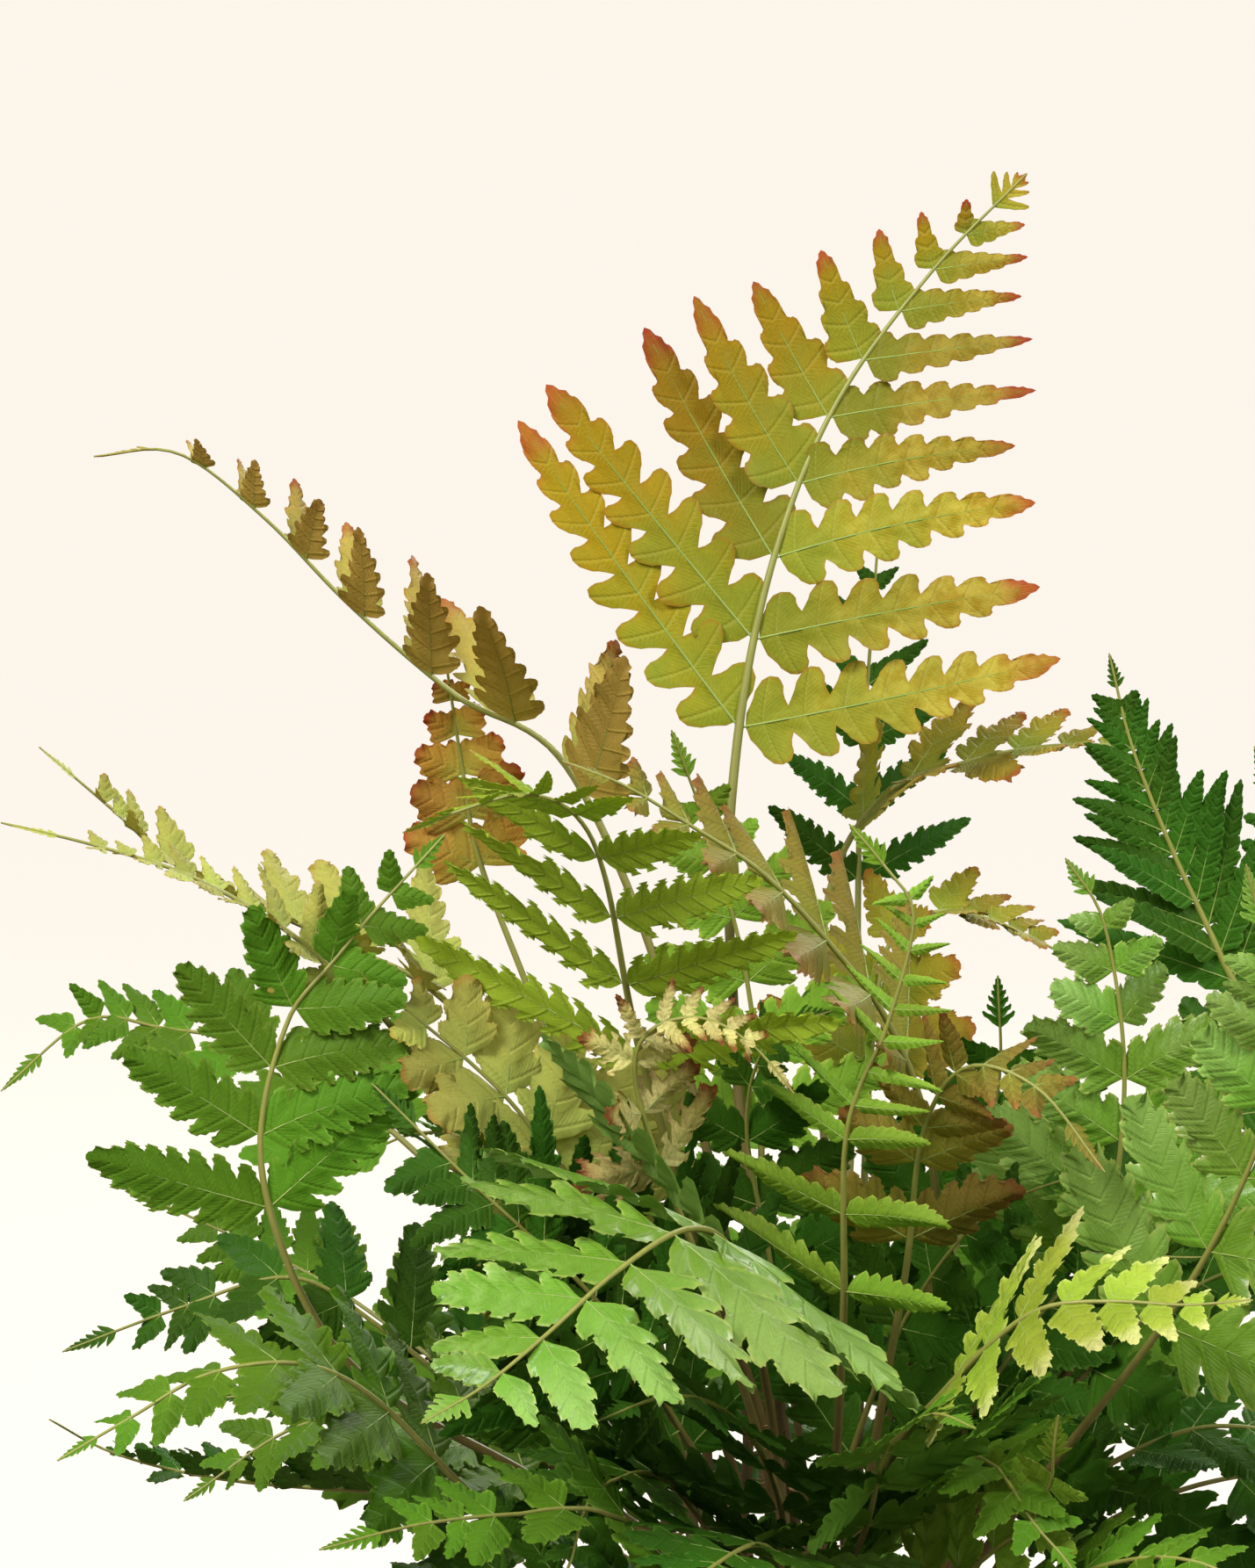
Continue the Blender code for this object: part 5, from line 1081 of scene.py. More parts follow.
class Wiring:
    """Adds nodes to a tree and joins them."""

    def __init__(self, tree):
        self.tree = tree

    def add(self, kind, *values, pick=0, **settings):
        """A node with its inputs set in order, a value or another node's output, or None to skip."""
        node = self.tree.nodes.new(kind)
        named = settings.pop("named", {})
        for key, value in settings.items():
            setattr(node, key, value)
        for key, value in [*enumerate(values), *named.items()]:
            if value is None:
                continue
            if isinstance(value, bpy.types.NodeSocket):
                self.tree.links.new(value, node.inputs[key])
            else:
                node.inputs[key].default_value = value
        return node.outputs[pick]

    def math(self, operation, *values):
        return self.add("ShaderNodeMath", *values, operation=operation)

    def blend(self, share, first, second, kind="MIX"):
        node = self.tree.nodes.new("ShaderNodeMix")
        node.data_type = "RGBA"
        node.blend_type = kind
        for place, value in ((0, share), (6, first), (7, second)):
            if isinstance(value, bpy.types.NodeSocket):
                self.tree.links.new(value, node.inputs[place])
            else:
                node.inputs[place].default_value = value
        return node.outputs[2]

    def ramp(self, value, low, high, to_low=0.0, to_high=1.0):
        return self.add("ShaderNodeMapRange", value, low, high, to_low, to_high,
                        interpolation_type="SMOOTHSTEP")

    def attribute(self, name):
        return self.add("ShaderNodeAttribute", attribute_name=name, pick=2)


def paint(red, green, blue):
    """A screen colour, 0 to 255, as a shader colour."""
    shares = [value / 255 for value in (red, green, blue)]
    return (*[s / 12.92 if s <= 0.04045 else ((s + 0.055) / 1.055) ** 2.4 for s in shares], 1.0)


def node_group(name, inputs, outputs):
    group = bpy.data.node_groups.new(name, "ShaderNodeTree")
    for title, kind, value in inputs:
        made = group.interface.new_socket(title, in_out="INPUT", socket_type=kind)
        made.default_value = value
    for title, kind in outputs:
        group.interface.new_socket(title, in_out="OUTPUT", socket_type=kind)
    start = group.nodes.new("NodeGroupInput")
    end = group.nodes.new("NodeGroupOutput")
    return group, start.outputs, end.inputs


COLOUR, NUMBER = "NodeSocketColor", "NodeSocketFloat"


def make_leaf_surface():
    """Everything the leaf finishes share: colour over a leaflet, veins, rim, underside. On the glossy finish
    the outer colour is a painted sheen.
    """
    group, given, out = node_group("leaf_surface", [
        ("Near rib", COLOUR, paint(90, 140, 50)), ("Outer", COLOUR, paint(70, 120, 40)),
        ("Right side", COLOUR, paint(70, 120, 40)), ("Right share", NUMBER, 0.0),
        ("Tip", COLOUR, paint(150, 120, 60)), ("Tip from", NUMBER, 2.0),
        ("Rim", COLOUR, paint(170, 190, 100)), ("Rim strength", NUMBER, 0.3),
        ("Vein", COLOUR, paint(150, 170, 90)), ("Vein strength", NUMBER, 0.3),
        ("Underside", COLOUR, paint(120, 160, 80)), ("Blotches", NUMBER, 0.3),
        ("Spots", NUMBER, 0.0), ("Shine", NUMBER, 0.4)],
        [("Colour", COLOUR), ("Roughness", NUMBER), ("Height", NUMBER)])
    w = Wiring(group)
    along, margin, upper = w.attribute("along"), w.attribute("margin"), w.attribute("upper")
    lobe_across, lobe_along = w.attribute("lobe_across"), w.attribute("lobe_along")
    chance, age = w.attribute("chance"), w.attribute("age")
    place = w.add("ShaderNodeTexCoord", pick=3)
    broad = w.add("ShaderNodeTexNoise", place, named={"Scale": 70.0, "Detail": 3.0})
    fine = w.add("ShaderNodeTexNoise", place, named={"Scale": 900.0, "Detail": 2.0})
    drift = w.math("SUBTRACT", broad, 0.5)

    # These patches spread the Right side colour over the right-hand leaflets. On the glossy finish they
    # break up the painted sheen that its Outer colour holds; on the others they vary the right side's own
    # tone.
    tone_and_sheen_patches = w.add("ShaderNodeTexNoise", place, named={"Scale": 210.0, "Detail": 3.0})
    right = w.math("MULTIPLY", w.attribute("right"), given["Right share"])
    right = w.math("MULTIPLY", right, w.ramp(tone_and_sheen_patches, 0.36, 0.6, 0.25, 1.0))
    outer = w.blend(right, given["Outer"], given["Right side"])
    reach = w.math("MULTIPLY_ADD", drift, 0.9, along)
    colour = w.blend(w.ramp(reach, 0.0, 0.8), given["Near rib"], outer)
    far = w.math("MULTIPLY_ADD", drift, 0.35, w.math("MULTIPLY_ADD", age, 0.12, along))
    far = w.math("MULTIPLY_ADD", margin, 0.08, far)
    tip = w.add("ShaderNodeMapRange", far, given["Tip from"], w.math("ADD", given["Tip from"], 0.28),
                0.0, 1.0, interpolation_type="SMOOTHSTEP")
    colour = w.blend(tip, colour, given["Tip"])
    rim = w.math("MULTIPLY", w.ramp(w.math("MULTIPLY_ADD", drift, 0.15, margin), 0.8, 1.0),
                 given["Rim strength"])
    colour = w.blend(rim, colour, given["Rim"])

    midvein = w.ramp(lobe_across, 0.12, 0.42, 1.0, 0.0)
    slanted = w.math("MULTIPLY_ADD", lobe_across, -0.8, lobe_along)
    wave = w.math("SINE", w.math("MULTIPLY", slanted, 3.9))
    side_vein = w.math("MULTIPLY", w.ramp(wave, 0.55, 1.0), w.ramp(margin, 0.5, 0.9, 0.7, 0.0))
    vein = w.math("MAXIMUM", midvein, side_vein)
    colour = w.blend(w.math("MULTIPLY", vein, given["Vein strength"]), colour, given["Vein"])

    blotch = w.math("MULTIPLY", w.math("SUBTRACT", fine, 0.5), given["Blotches"])
    blotch = w.math("MULTIPLY_ADD", drift, given["Blotches"], blotch)
    own = w.math("MULTIPLY_ADD", chance, 0.34, 0.82)
    bright = w.math("ADD", own, blotch)
    hue = w.math("MULTIPLY_ADD", chance, 0.02, 0.49)
    colour = w.add("ShaderNodeHueSaturation", hue, 1.0, bright, 1.0, colour)
    under = w.blend(w.math("MULTIPLY", vein, 0.35), given["Underside"], colour)
    spot = w.add("ShaderNodeMath", w.math("SINE", w.math("MULTIPLY", lobe_along, 2.6)), 0.45,
                 operation="GREATER_THAN")
    beside = w.math("MULTIPLY", w.ramp(lobe_across, 0.6, 0.8), w.ramp(lobe_across, 1.3, 1.5, 1.0, 0.0))
    spots = w.math("MULTIPLY", w.math("MULTIPLY", spot, beside), given["Spots"])
    under = w.blend(spots, under, paint(225, 215, 170))
    is_upper = w.math("GREATER_THAN", upper, 0.5)
    w.tree.links.new(w.blend(is_upper, under, colour), out["Colour"])
    rough = w.math("MULTIPLY_ADD", fine, 0.18, given["Shine"])
    low_rough = w.math("MULTIPLY_ADD", fine, 0.1, 0.6)
    mixed = w.math("ADD", w.math("MULTIPLY", rough, is_upper),
                   w.math("MULTIPLY", low_rough, w.math("SUBTRACT", 1.0, is_upper)))
    w.tree.links.new(mixed, out["Roughness"])
    pillow = w.ramp(lobe_across, 0.0, 1.1)
    pillow = w.math("MULTIPLY_ADD", side_vein, -0.45, pillow)
    facing = w.math("MULTIPLY_ADD", is_upper, 2.0, -1.0)
    height = w.math("MULTIPLY", pillow, facing)
    height = w.math("MULTIPLY_ADD", fine, 0.5, height)
    w.tree.links.new(height, out["Height"])
    return group


def new_material(name):
    made = bpy.data.materials.new(name)
    made.use_nodes = True
    made.node_tree.nodes.clear()
    return made, Wiring(made.node_tree)


def finish_material(w, surface):
    end = w.tree.nodes.new("ShaderNodeOutputMaterial")
    w.tree.links.new(surface, end.inputs["Surface"])


LEAF_FINISHES = {
    "tall": {
        "Near rib": paint(144, 150, 42), "Outer": paint(164, 134, 20), "Right side": paint(194, 178, 72),
        "Right share": 0.85, "Tip": paint(176, 78, 44), "Tip from": 0.84, "Rim": paint(166, 98, 40),
        "Rim strength": 0.4, "Vein": paint(196, 184, 92), "Vein strength": 0.25,
        "Underside": paint(190, 180, 84)},
    "copper": {
        "Near rib": paint(182, 184, 86), "Outer": paint(196, 172, 84),
        "Tip": paint(176, 96, 56), "Tip from": 0.82, "Rim": paint(176, 100, 60), "Rim strength": 0.35,
        "Vein": paint(196, 160, 90), "Underside": paint(190, 160, 80)},
    "red_copper": {
        "Near rib": paint(182, 182, 72), "Outer": paint(210, 166, 70),
        "Tip": paint(196, 96, 56), "Tip from": 0.8, "Rim": paint(192, 96, 56),
        "Vein": paint(200, 150, 90), "Underside": paint(196, 130, 76)},
    "straw": {
        "Near rib": paint(184, 198, 96), "Outer": paint(198, 198, 98),
        "Tip": paint(196, 150, 66), "Tip from": 0.92, "Rim": paint(196, 156, 80),
        "Vein": paint(214, 200, 110), "Underside": paint(200, 190, 90)},
    "lime": {
        "Near rib": paint(150, 182, 42), "Outer": paint(180, 194, 54),
        "Tip": paint(214, 150, 110), "Tip from": 0.95, "Rim": paint(204, 210, 110), "Rim strength": 0.4,
        "Vein": paint(110, 144, 36), "Underside": paint(166, 192, 56), "Spots": 0.2},
    "brown": {
        "Near rib": paint(150, 148, 56), "Outer": paint(158, 138, 56),
        "Tip": paint(168, 112, 60), "Tip from": 0.8, "Rim": paint(184, 140, 84), "Rim strength": 0.25,
        "Vein": paint(104, 90, 44), "Vein strength": 0.4, "Underside": paint(154, 144, 72)},
    "olive": {
        "Near rib": paint(140, 154, 48), "Outer": paint(172, 154, 46),
        "Tip": paint(184, 104, 48), "Tip from": 0.85, "Rim": paint(176, 116, 56), "Rim strength": 0.45,
        "Vein": paint(196, 186, 96), "Underside": paint(176, 174, 82)},
    "pale": {
        "Near rib": paint(160, 186, 54), "Outer": paint(182, 200, 70),
        "Tip": paint(232, 232, 150), "Tip from": 0.72, "Rim": paint(216, 222, 130), "Rim strength": 0.5,
        "Vein": paint(196, 208, 110), "Underside": paint(180, 196, 92)},
    "fresh": {
        "Near rib": paint(132, 176, 50), "Outer": paint(146, 186, 60),
        "Rim": paint(196, 202, 90), "Rim strength": 0.5, "Vein": paint(176, 196, 90),
        "Underside": paint(150, 180, 76)},
    # The glossy finish's Outer colour is a painted sheen: a pale, silvery green towards the leaflets' outer
    # ends. On the right-hand leaflets, Right side's green breaks it up in patches.
    "glossy": {
        "Near rib": paint(128, 178, 52), "Outer": paint(160, 198, 96), "Right side": paint(122, 174, 48),
        "Right share": 0.9, "Rim": paint(192, 206, 104), "Rim strength": 0.6,
        "Vein": paint(146, 184, 72), "Underside": paint(136, 172, 80), "Shine": 0.24},
    "green": {
        "Near rib": paint(106, 152, 36), "Outer": paint(98, 144, 34),
        "Rim": paint(156, 182, 74), "Rim strength": 0.4, "Vein": paint(130, 170, 60),
        "Vein strength": 0.25, "Underside": paint(108, 154, 52)},
    "dark": {
        "Near rib": paint(70, 118, 28), "Outer": paint(60, 104, 24),
        "Rim": paint(116, 152, 58), "Rim strength": 0.35, "Vein": paint(94, 138, 46),
        "Vein strength": 0.25, "Underside": paint(86, 130, 46)},
    "crinkled": {
        "Near rib": paint(232, 228, 150), "Outer": paint(222, 210, 130),
        "Tip": paint(150, 92, 50), "Tip from": 0.7, "Rim": paint(146, 90, 52), "Rim strength": 0.6,
        "Vein": paint(180, 140, 70), "Underside": paint(200, 170, 96), "Blotches": 0.6},
}
THROUGH = 0.4


def make_leaf_materials():
    surface = make_leaf_surface()
    made = {}
    for name, given in LEAF_FINISHES.items():
        material, w = new_material("leaf_" + name)
        node = w.tree.nodes.new("ShaderNodeGroup")
        node.node_tree = surface
        for key, value in given.items():
            node.inputs[key].default_value = value
        colour, rough, height = node.outputs
        bump = w.add("ShaderNodeBump", named={"Strength": 0.6, "Distance": 0.0004, "Height": height})
        shader = w.add("ShaderNodeBsdfPrincipled", named={
            "Base Color": colour, "Roughness": rough, "Normal": bump,
            "Coat Weight": 0.4 if name == "glossy" else 0.0, "Coat Roughness": 0.2,
            "Specular IOR Level": 0.4 if name == "glossy" else 0.14})
        light = w.add("ShaderNodeGamma", colour, 0.8)
        through = w.add("ShaderNodeBsdfTranslucent", light)
        finish_material(w, w.add("ShaderNodeMixShader", THROUGH, shader, through))
        made[name] = material
    return made


def make_stalk_material():
    """Straw to olive, greener up the rib, darker at the foot, with faint lengthwise streaks."""
    made, w = new_material("stalk")
    along = w.attribute("line_share")
    place = w.add("ShaderNodeTexCoord", pick=3)
    streak = w.add("ShaderNodeMapping", place, None, None, (1.0, 1.0, 0.12))
    noise = w.add("ShaderNodeTexNoise", streak, named={"Scale": 500.0, "Detail": 3.0})
    foot = w.blend(w.ramp(along, 0.0, 0.3), paint(64, 46, 28), paint(104, 88, 46))
    body = w.blend(w.ramp(along, 0.3, 0.75), foot, paint(140, 142, 66))
    shade = w.math("MULTIPLY_ADD", noise, 0.5, 0.75)
    colour = w.add("ShaderNodeHueSaturation", 0.5, 1.0, shade, 1.0, body)
    bump = w.add("ShaderNodeBump", named={"Strength": 0.3, "Distance": 0.0002, "Height": noise})
    finish_material(w, w.add("ShaderNodeBsdfPrincipled", named={
        "Base Color": colour, "Roughness": 0.45, "Normal": bump}))
    return made


def make_midrib_material():
    """The leaflets' midribs: pale, a little darker towards their tips."""
    made, w = new_material("midrib")
    along = w.attribute("line_share")
    colour = w.blend(w.ramp(along, 0.0, 0.9), paint(140, 158, 78), paint(110, 146, 58))
    finish_material(w, w.add("ShaderNodeBsdfPrincipled", named={"Base Color": colour, "Roughness": 0.5}))
    return made


def make_scale_material():
    made, w = new_material("stalk_scales")
    place = w.add("ShaderNodeTexCoord", pick=3)
    noise = w.add("ShaderNodeTexNoise", place, named={"Scale": 260.0})
    colour = w.blend(noise, paint(80, 60, 34), paint(150, 116, 66))
    finish_material(w, w.add("ShaderNodeBsdfPrincipled", named={"Base Color": colour, "Roughness": 0.7}))
    return made


def make_clay_material():
    made, w = new_material("pot_clay")
    place = w.add("ShaderNodeTexCoord", pick=3)
    broad = w.add("ShaderNodeTexNoise", place, named={"Scale": 18.0, "Detail": 5.0})
    fine = w.add("ShaderNodeTexNoise", place, named={"Scale": 700.0, "Detail": 3.0})
    height = w.add("ShaderNodeSeparateXYZ", place, pick=2)
    colour = w.blend(w.ramp(broad, 0.3, 0.7), paint(176, 98, 66), paint(196, 122, 88))
    bloom = w.math("MULTIPLY", w.ramp(broad, 0.52, 0.75), w.ramp(height, 0.02, 0.12, 0.5, 0.15))
    colour = w.blend(bloom, colour, paint(222, 196, 172))
    damp = w.math("MULTIPLY", w.ramp(height, 0.0, 0.035, 0.5, 0.0), w.ramp(broad, 0.35, 0.6))
    colour = w.blend(damp, colour, paint(112, 72, 50))
    turning = w.add("ShaderNodeMapping", place, None, None, (1.0, 1.0, 60.0))
    rings = w.add("ShaderNodeTexNoise", turning, named={"Scale": 8.0, "Detail": 2.0})
    relief = w.math("MULTIPLY_ADD", rings, 0.8, fine)
    bump = w.add("ShaderNodeBump", named={"Strength": 0.35, "Distance": 0.0005, "Height": relief})
    finish_material(w, w.add("ShaderNodeBsdfPrincipled", named={
        "Base Color": colour, "Roughness": 0.85, "Normal": bump}))
    return made


def make_compost_material():
    made, w = new_material("compost")
    place = w.add("ShaderNodeTexCoord", pick=3)
    noise = w.add("ShaderNodeTexNoise", place, named={"Scale": 160.0, "Detail": 6.0})
    colour = w.blend(w.ramp(noise, 0.35, 0.7), paint(40, 28, 20), paint(92, 68, 46))
    bump = w.add("ShaderNodeBump", named={"Strength": 0.9, "Distance": 0.002, "Height": noise})
    finish_material(w, w.add("ShaderNodeBsdfPrincipled", named={
        "Base Color": colour, "Roughness": 0.95, "Normal": bump}))
    return made


def make_crumb_material(name, dark, pale):
    made, w = new_material(name)
    place = w.add("ShaderNodeTexCoord", pick=3)
    noise = w.add("ShaderNodeTexNoise", place, named={"Scale": 120.0, "Detail": 2.0})
    colour = w.blend(w.ramp(noise, 0.4, 0.65), paint(*dark), paint(*pale))
    finish_material(w, w.add("ShaderNodeBsdfPrincipled", named={"Base Color": colour, "Roughness": 0.9}))
    return made


def geometry_tree(name, inputs):
    tree = bpy.data.node_groups.new(name, "GeometryNodeTree")
    tree.interface.new_socket("Geometry", in_out="INPUT", socket_type="NodeSocketGeometry")
    for title, kind in inputs:
        tree.interface.new_socket(title, in_out="INPUT", socket_type=kind)
    tree.interface.new_socket("Geometry", in_out="OUTPUT", socket_type="NodeSocketGeometry")
    given = tree.nodes.new("NodeGroupInput").outputs
    out = tree.nodes.new("NodeGroupOutput").inputs
    return tree, given, out, Wiring(tree)


def joined(w, *parts):
    node = w.tree.nodes.new("GeometryNodeJoinGeometry")
    for part in reversed(parts):
        w.tree.links.new(part, node.inputs[0])
    return node.outputs[0]


def scattered(w, surface, density, thing, seed, smallest, largest, tilt=0.0):
    """Instances of an object on a surface, standing off its faces, turned and sized at random."""
    spread = w.tree.nodes.new("GeometryNodeDistributePointsOnFaces")
    w.tree.links.new(surface, spread.inputs["Mesh"])
    w.tree.links.new(density, spread.inputs["Density"])
    w.tree.links.new(seed, spread.inputs["Seed"])
    spin = w.add("FunctionNodeRandomValue", (-tilt, -tilt, 0.0), (tilt, tilt, 6.283),
                 data_type="FLOAT_VECTOR", named={"Seed": seed})
    turned_by = w.tree.nodes.new("FunctionNodeRotateRotation")
    turned_by.rotation_space = "LOCAL"
    w.tree.links.new(spread.outputs["Rotation"], turned_by.inputs[0])
    w.tree.links.new(spin, turned_by.inputs[1])
    size = w.add("FunctionNodeRandomValue", None, None, smallest, largest, data_type="FLOAT", pick=1,
                 named={"Seed": seed})
    shape = w.tree.nodes.new("GeometryNodeObjectInfo")
    w.tree.links.new(thing, shape.inputs["Object"])
    shape.inputs["As Instance"].default_value = True
    put = w.tree.nodes.new("GeometryNodeInstanceOnPoints")
    for key, value in (("Points", spread.outputs["Points"]), ("Instance", shape.outputs["Geometry"]),
                       ("Rotation", turned_by.outputs[0]), ("Scale", size)):
        w.tree.links.new(value, put.inputs[key])
    return w.add("GeometryNodeRealizeInstances", put.outputs[0])


def make_frond_tree():
    """Runs round tubes along a frond's stalk and midribs and sets scales on the stalk."""
    tree, given, out, w = geometry_tree("frond_stalks", [
        ("Stalk", "NodeSocketObject"), ("Midribs", "NodeSocketObject"),
        ("Stalk sides", "NodeSocketInt"), ("Midrib sides", "NodeSocketInt"),
        ("Stalk finish", "NodeSocketMaterial"), ("Midrib finish", "NodeSocketMaterial"),
        ("Scale", "NodeSocketObject"), ("Scale finish", "NodeSocketMaterial"),
        ("Scales a square metre", "NodeSocketFloat"), ("Seed", "NodeSocketInt")])

    def tube(lines, sides, finish):
        curve = w.add("GeometryNodeObjectInfo", named={"Object": lines}, pick=4)
        share = w.add("GeometryNodeSplineParameter")
        marked = w.add("GeometryNodeStoreNamedAttribute", named={
            "Geometry": curve, "Name": "line_share", "Value": share}, data_type="FLOAT", domain="POINT")
        ring = w.add("GeometryNodeCurvePrimitiveCircle", named={"Resolution": sides, "Radius": 1.0})
        thickness = w.add("GeometryNodeInputRadius")
        body = w.add("GeometryNodeCurveToMesh", named={
            "Curve": marked, "Profile Curve": ring, "Scale": thickness, "Fill Caps": True})
        body = w.add("GeometryNodeSetShadeSmooth", body)
        return w.add("GeometryNodeSetMaterial", named={"Geometry": body, "Material": finish})

    stalk = tube(given["Stalk"], given["Stalk sides"], given["Stalk finish"])
    midribs = tube(given["Midribs"], given["Midrib sides"], given["Midrib finish"])
    share = w.add("GeometryNodeInputNamedAttribute", named={"Name": "line_share"}, data_type="FLOAT")
    bare = w.add("ShaderNodeMapRange", share, 0.02, 0.45, 1.0, 0.0)
    density = w.math("MULTIPLY", w.math("POWER", bare, 2.2), given["Scales a square metre"])
    scales = scattered(w, stalk, density, given["Scale"], given["Seed"], 0.6, 1.25, 0.5)
    scales = w.add("GeometryNodeSetMaterial", named={"Geometry": scales, "Material": given["Scale finish"]})
    whole = joined(w, given["Geometry"], stalk, midribs, scales)
    w.tree.links.new(w.add("GeometryNodeRealizeInstances", whole), out[0])
    return tree


def make_scatter_tree(name):
    """Sets one kind of crumb on a surface."""
    tree, given, out, w = geometry_tree(name, [
        ("Crumb", "NodeSocketObject"), ("Crumbs a square metre", "NodeSocketFloat"),
        ("Smallest", "NodeSocketFloat"), ("Largest", "NodeSocketFloat"),
        ("Finish", "NodeSocketMaterial"), ("Seed", "NodeSocketInt")])
    crumbs = scattered(w, given["Geometry"], given["Crumbs a square metre"], given["Crumb"],
                       given["Seed"], given["Smallest"], given["Largest"], 0.7)
    crumbs = w.add("GeometryNodeSetMaterial", named={"Geometry": crumbs, "Material": given["Finish"]})
    w.tree.links.new(crumbs, out[0])
    return tree


def settle(obj, tree, **values):
    """Runs a tree on an object and keeps its result as a plain mesh."""
    modifier = obj.modifiers.new(tree.name, "NODES")
    modifier.node_group = tree
    sockets = {item.name: item.identifier for item in tree.interface.items_tree if item.in_out == "INPUT"}
    for title, value in values.items():
        modifier[sockets[title.replace("_", " ")]] = value
    bpy.context.view_layer.update()
    made = bpy.data.meshes.new_from_object(obj.evaluated_get(bpy.context.evaluated_depsgraph_get()))
    obj.modifiers.clear()
    obj.data = made
    return obj


def turned(profile, sides):
    """Points and faces of a closed profile of (radius, height) turned round Z, outline counterclockwise."""
    points = []
    rings = []
    for radius, height in profile:
        if radius == 0:
            rings.append([len(points)] * sides)
            points.append((0.0, 0.0, height))
            continue
        ring = []
        for k in range(sides):
            turn = 2 * math.pi * k / sides
            ring.append(len(points))
            points.append((radius * math.cos(turn), radius * math.sin(turn), height))
        rings.append(ring)
    faces = []
    for ring, above in zip(rings, rings[1:]):
        for k in range(sides):
            after = (k + 1) % sides
            corners = [ring[k], ring[after], above[after], above[k]]
            faces.append([c for i, c in enumerate(corners) if c != corners[i - 1]])
    return points, faces


def triangles(faces):
    """Flat faces of any size split into fans."""
    made = []
    for face in faces:
        made += [(face[0], face[k], face[k + 1]) for k in range(1, len(face) - 1)]
    return made


def root_height(radius):
    """Height of the rootstock's domed top."""
    return ROOT_TOP - ROOT_DOME * (radius / ROOT_RADIUS) ** 2


def wall_radius(height):
    """Outer radius of the pot's wall under the rim."""
    share = height / (POT_HEIGHT - RIM_HEIGHT)
    return POT_BASE_RADIUS + (POT_WALL_TOP_RADIUS - POT_BASE_RADIUS) * share


def pot_profile(edge=1.5):
    """The pot's outline from the middle of its base, up the outside, to the middle of its floor."""
    rim_base = POT_HEIGHT - RIM_HEIGHT
    inner_top = RIM_RADIUS - WALL - 1.0
    return [
        (0, 0), (POT_BASE_RADIUS - edge, 0), (wall_radius(edge), edge), (wall_radius(rim_base), rim_base),
        (RIM_BASE_RADIUS, rim_base + edge), (RIM_RADIUS, POT_HEIGHT - edge),
        (RIM_RADIUS - edge, POT_HEIGHT), (inner_top + edge, POT_HEIGHT), (inner_top, POT_HEIGHT - edge),
        (wall_radius(rim_base) - WALL, rim_base), (wall_radius(FLOOR) - WALL, FLOOR), (0, FLOOR)]


def rounded(profile, reach, steps=4):
    """A profile with its corners rounded, its first and last points kept."""
    made = [profile[0]]
    for before, here, after in zip(profile, profile[1:], profile[2:]):
        before, here, after = (np.array(p, float) for p in (before, here, after))
        first = here + unit(before - here) * min(reach, np.linalg.norm(before - here) * 0.45)
        last = here + unit(after - here) * min(reach, np.linalg.norm(after - here) * 0.45)
        for t in np.linspace(0, 1, steps):
            made.append(tuple(first * (1 - t) ** 2 + 2 * here * t * (1 - t) + last * t ** 2))
    made.append(profile[-1])
    return made


def build_pot():
    points, faces = turned(rounded(pot_profile(), 1.4), 128)
    pot = add_object("clay_pot", mesh_of("clay_pot", points, faces))
    holes = []
    for k in range(DRAIN_COUNT):
        turn = math.pi / DRAIN_COUNT + 2 * math.pi * k / DRAIN_COUNT
        centre = np.array([math.cos(turn), math.sin(turn), 0]) * DRAIN_RING
        points, faces = turned(
            [(0, -FLOOR), (DRAIN_RADIUS, -FLOOR), (DRAIN_RADIUS, 2 * FLOOR), (0, 2 * FLOOR)], 32)
        hole = add_object("drain", mesh_of("drain", np.array(points) + centre, faces))
        cut = pot.modifiers.new("drain", "BOOLEAN")
        cut.operation, cut.solver, cut.object = "DIFFERENCE", "EXACT", hole
        holes.append(hole)
    bpy.context.view_layer.update()
    made = bpy.data.meshes.new_from_object(pot.evaluated_get(bpy.context.evaluated_depsgraph_get()))
    pot.modifiers.clear()
    pot.data = made
    made.shade_smooth()
    made.set_sharp_from_angle(angle=math.radians(35))
    for hole in holes:
        bpy.data.objects.remove(hole, do_unlink=True)
    return pot


def bumpy(x, y, size, seed):
    """A smooth uneven height, -1 to 1."""
    draw = np.random.default_rng(seed)
    total = np.zeros_like(x)
    for _ in range(6):
        way = draw.uniform(0, math.pi)
        stretch = size * draw.uniform(0.6, 1.6)
        total += np.sin((x * math.cos(way) + y * math.sin(way)) / stretch + draw.uniform(0, 6))
    return total / 4


def build_soil():
    """The compost: its sides follow the pot and its top is uneven."""
    hole = ROOT_RADIUS + GAP
    rim_base = POT_HEIGHT - RIM_HEIGHT
    top = SOIL_TOP - SOIL_DOME
    outer = wall_radius(rim_base) - WALL - GAP
    profile = [(0, FLOOR + GAP), (wall_radius(FLOOR) - WALL - GAP, FLOOR + GAP), (outer, rim_base),
               (outer, top - 1)]
    edge = wall_radius(top) - WALL - GAP
    for radius in np.linspace(edge - 1.0, hole + 0.8, 16):
        profile.append((radius, top + SOIL_DOME * min(1.0, (edge - radius) / (edge - hole - 2))))
    profile += [(hole, SOIL_TOP - 1.2), (hole, ROOT_BOTTOM - GAP), (0, ROOT_BOTTOM - GAP)]
    points, faces = turned(profile, 96)
    points = np.array(points)
    radius = np.hypot(points[:, 0], points[:, 1])
    is_top = (points[:, 2] > top - 0.5) & (radius < edge - 0.5) & (radius > hole + 0.5)
    points[is_top, 2] += 0.9 * bumpy(points[is_top, 0], points[is_top, 1], 4.0, SEED)
    return add_object("compost", mesh_of("compost", points, faces))


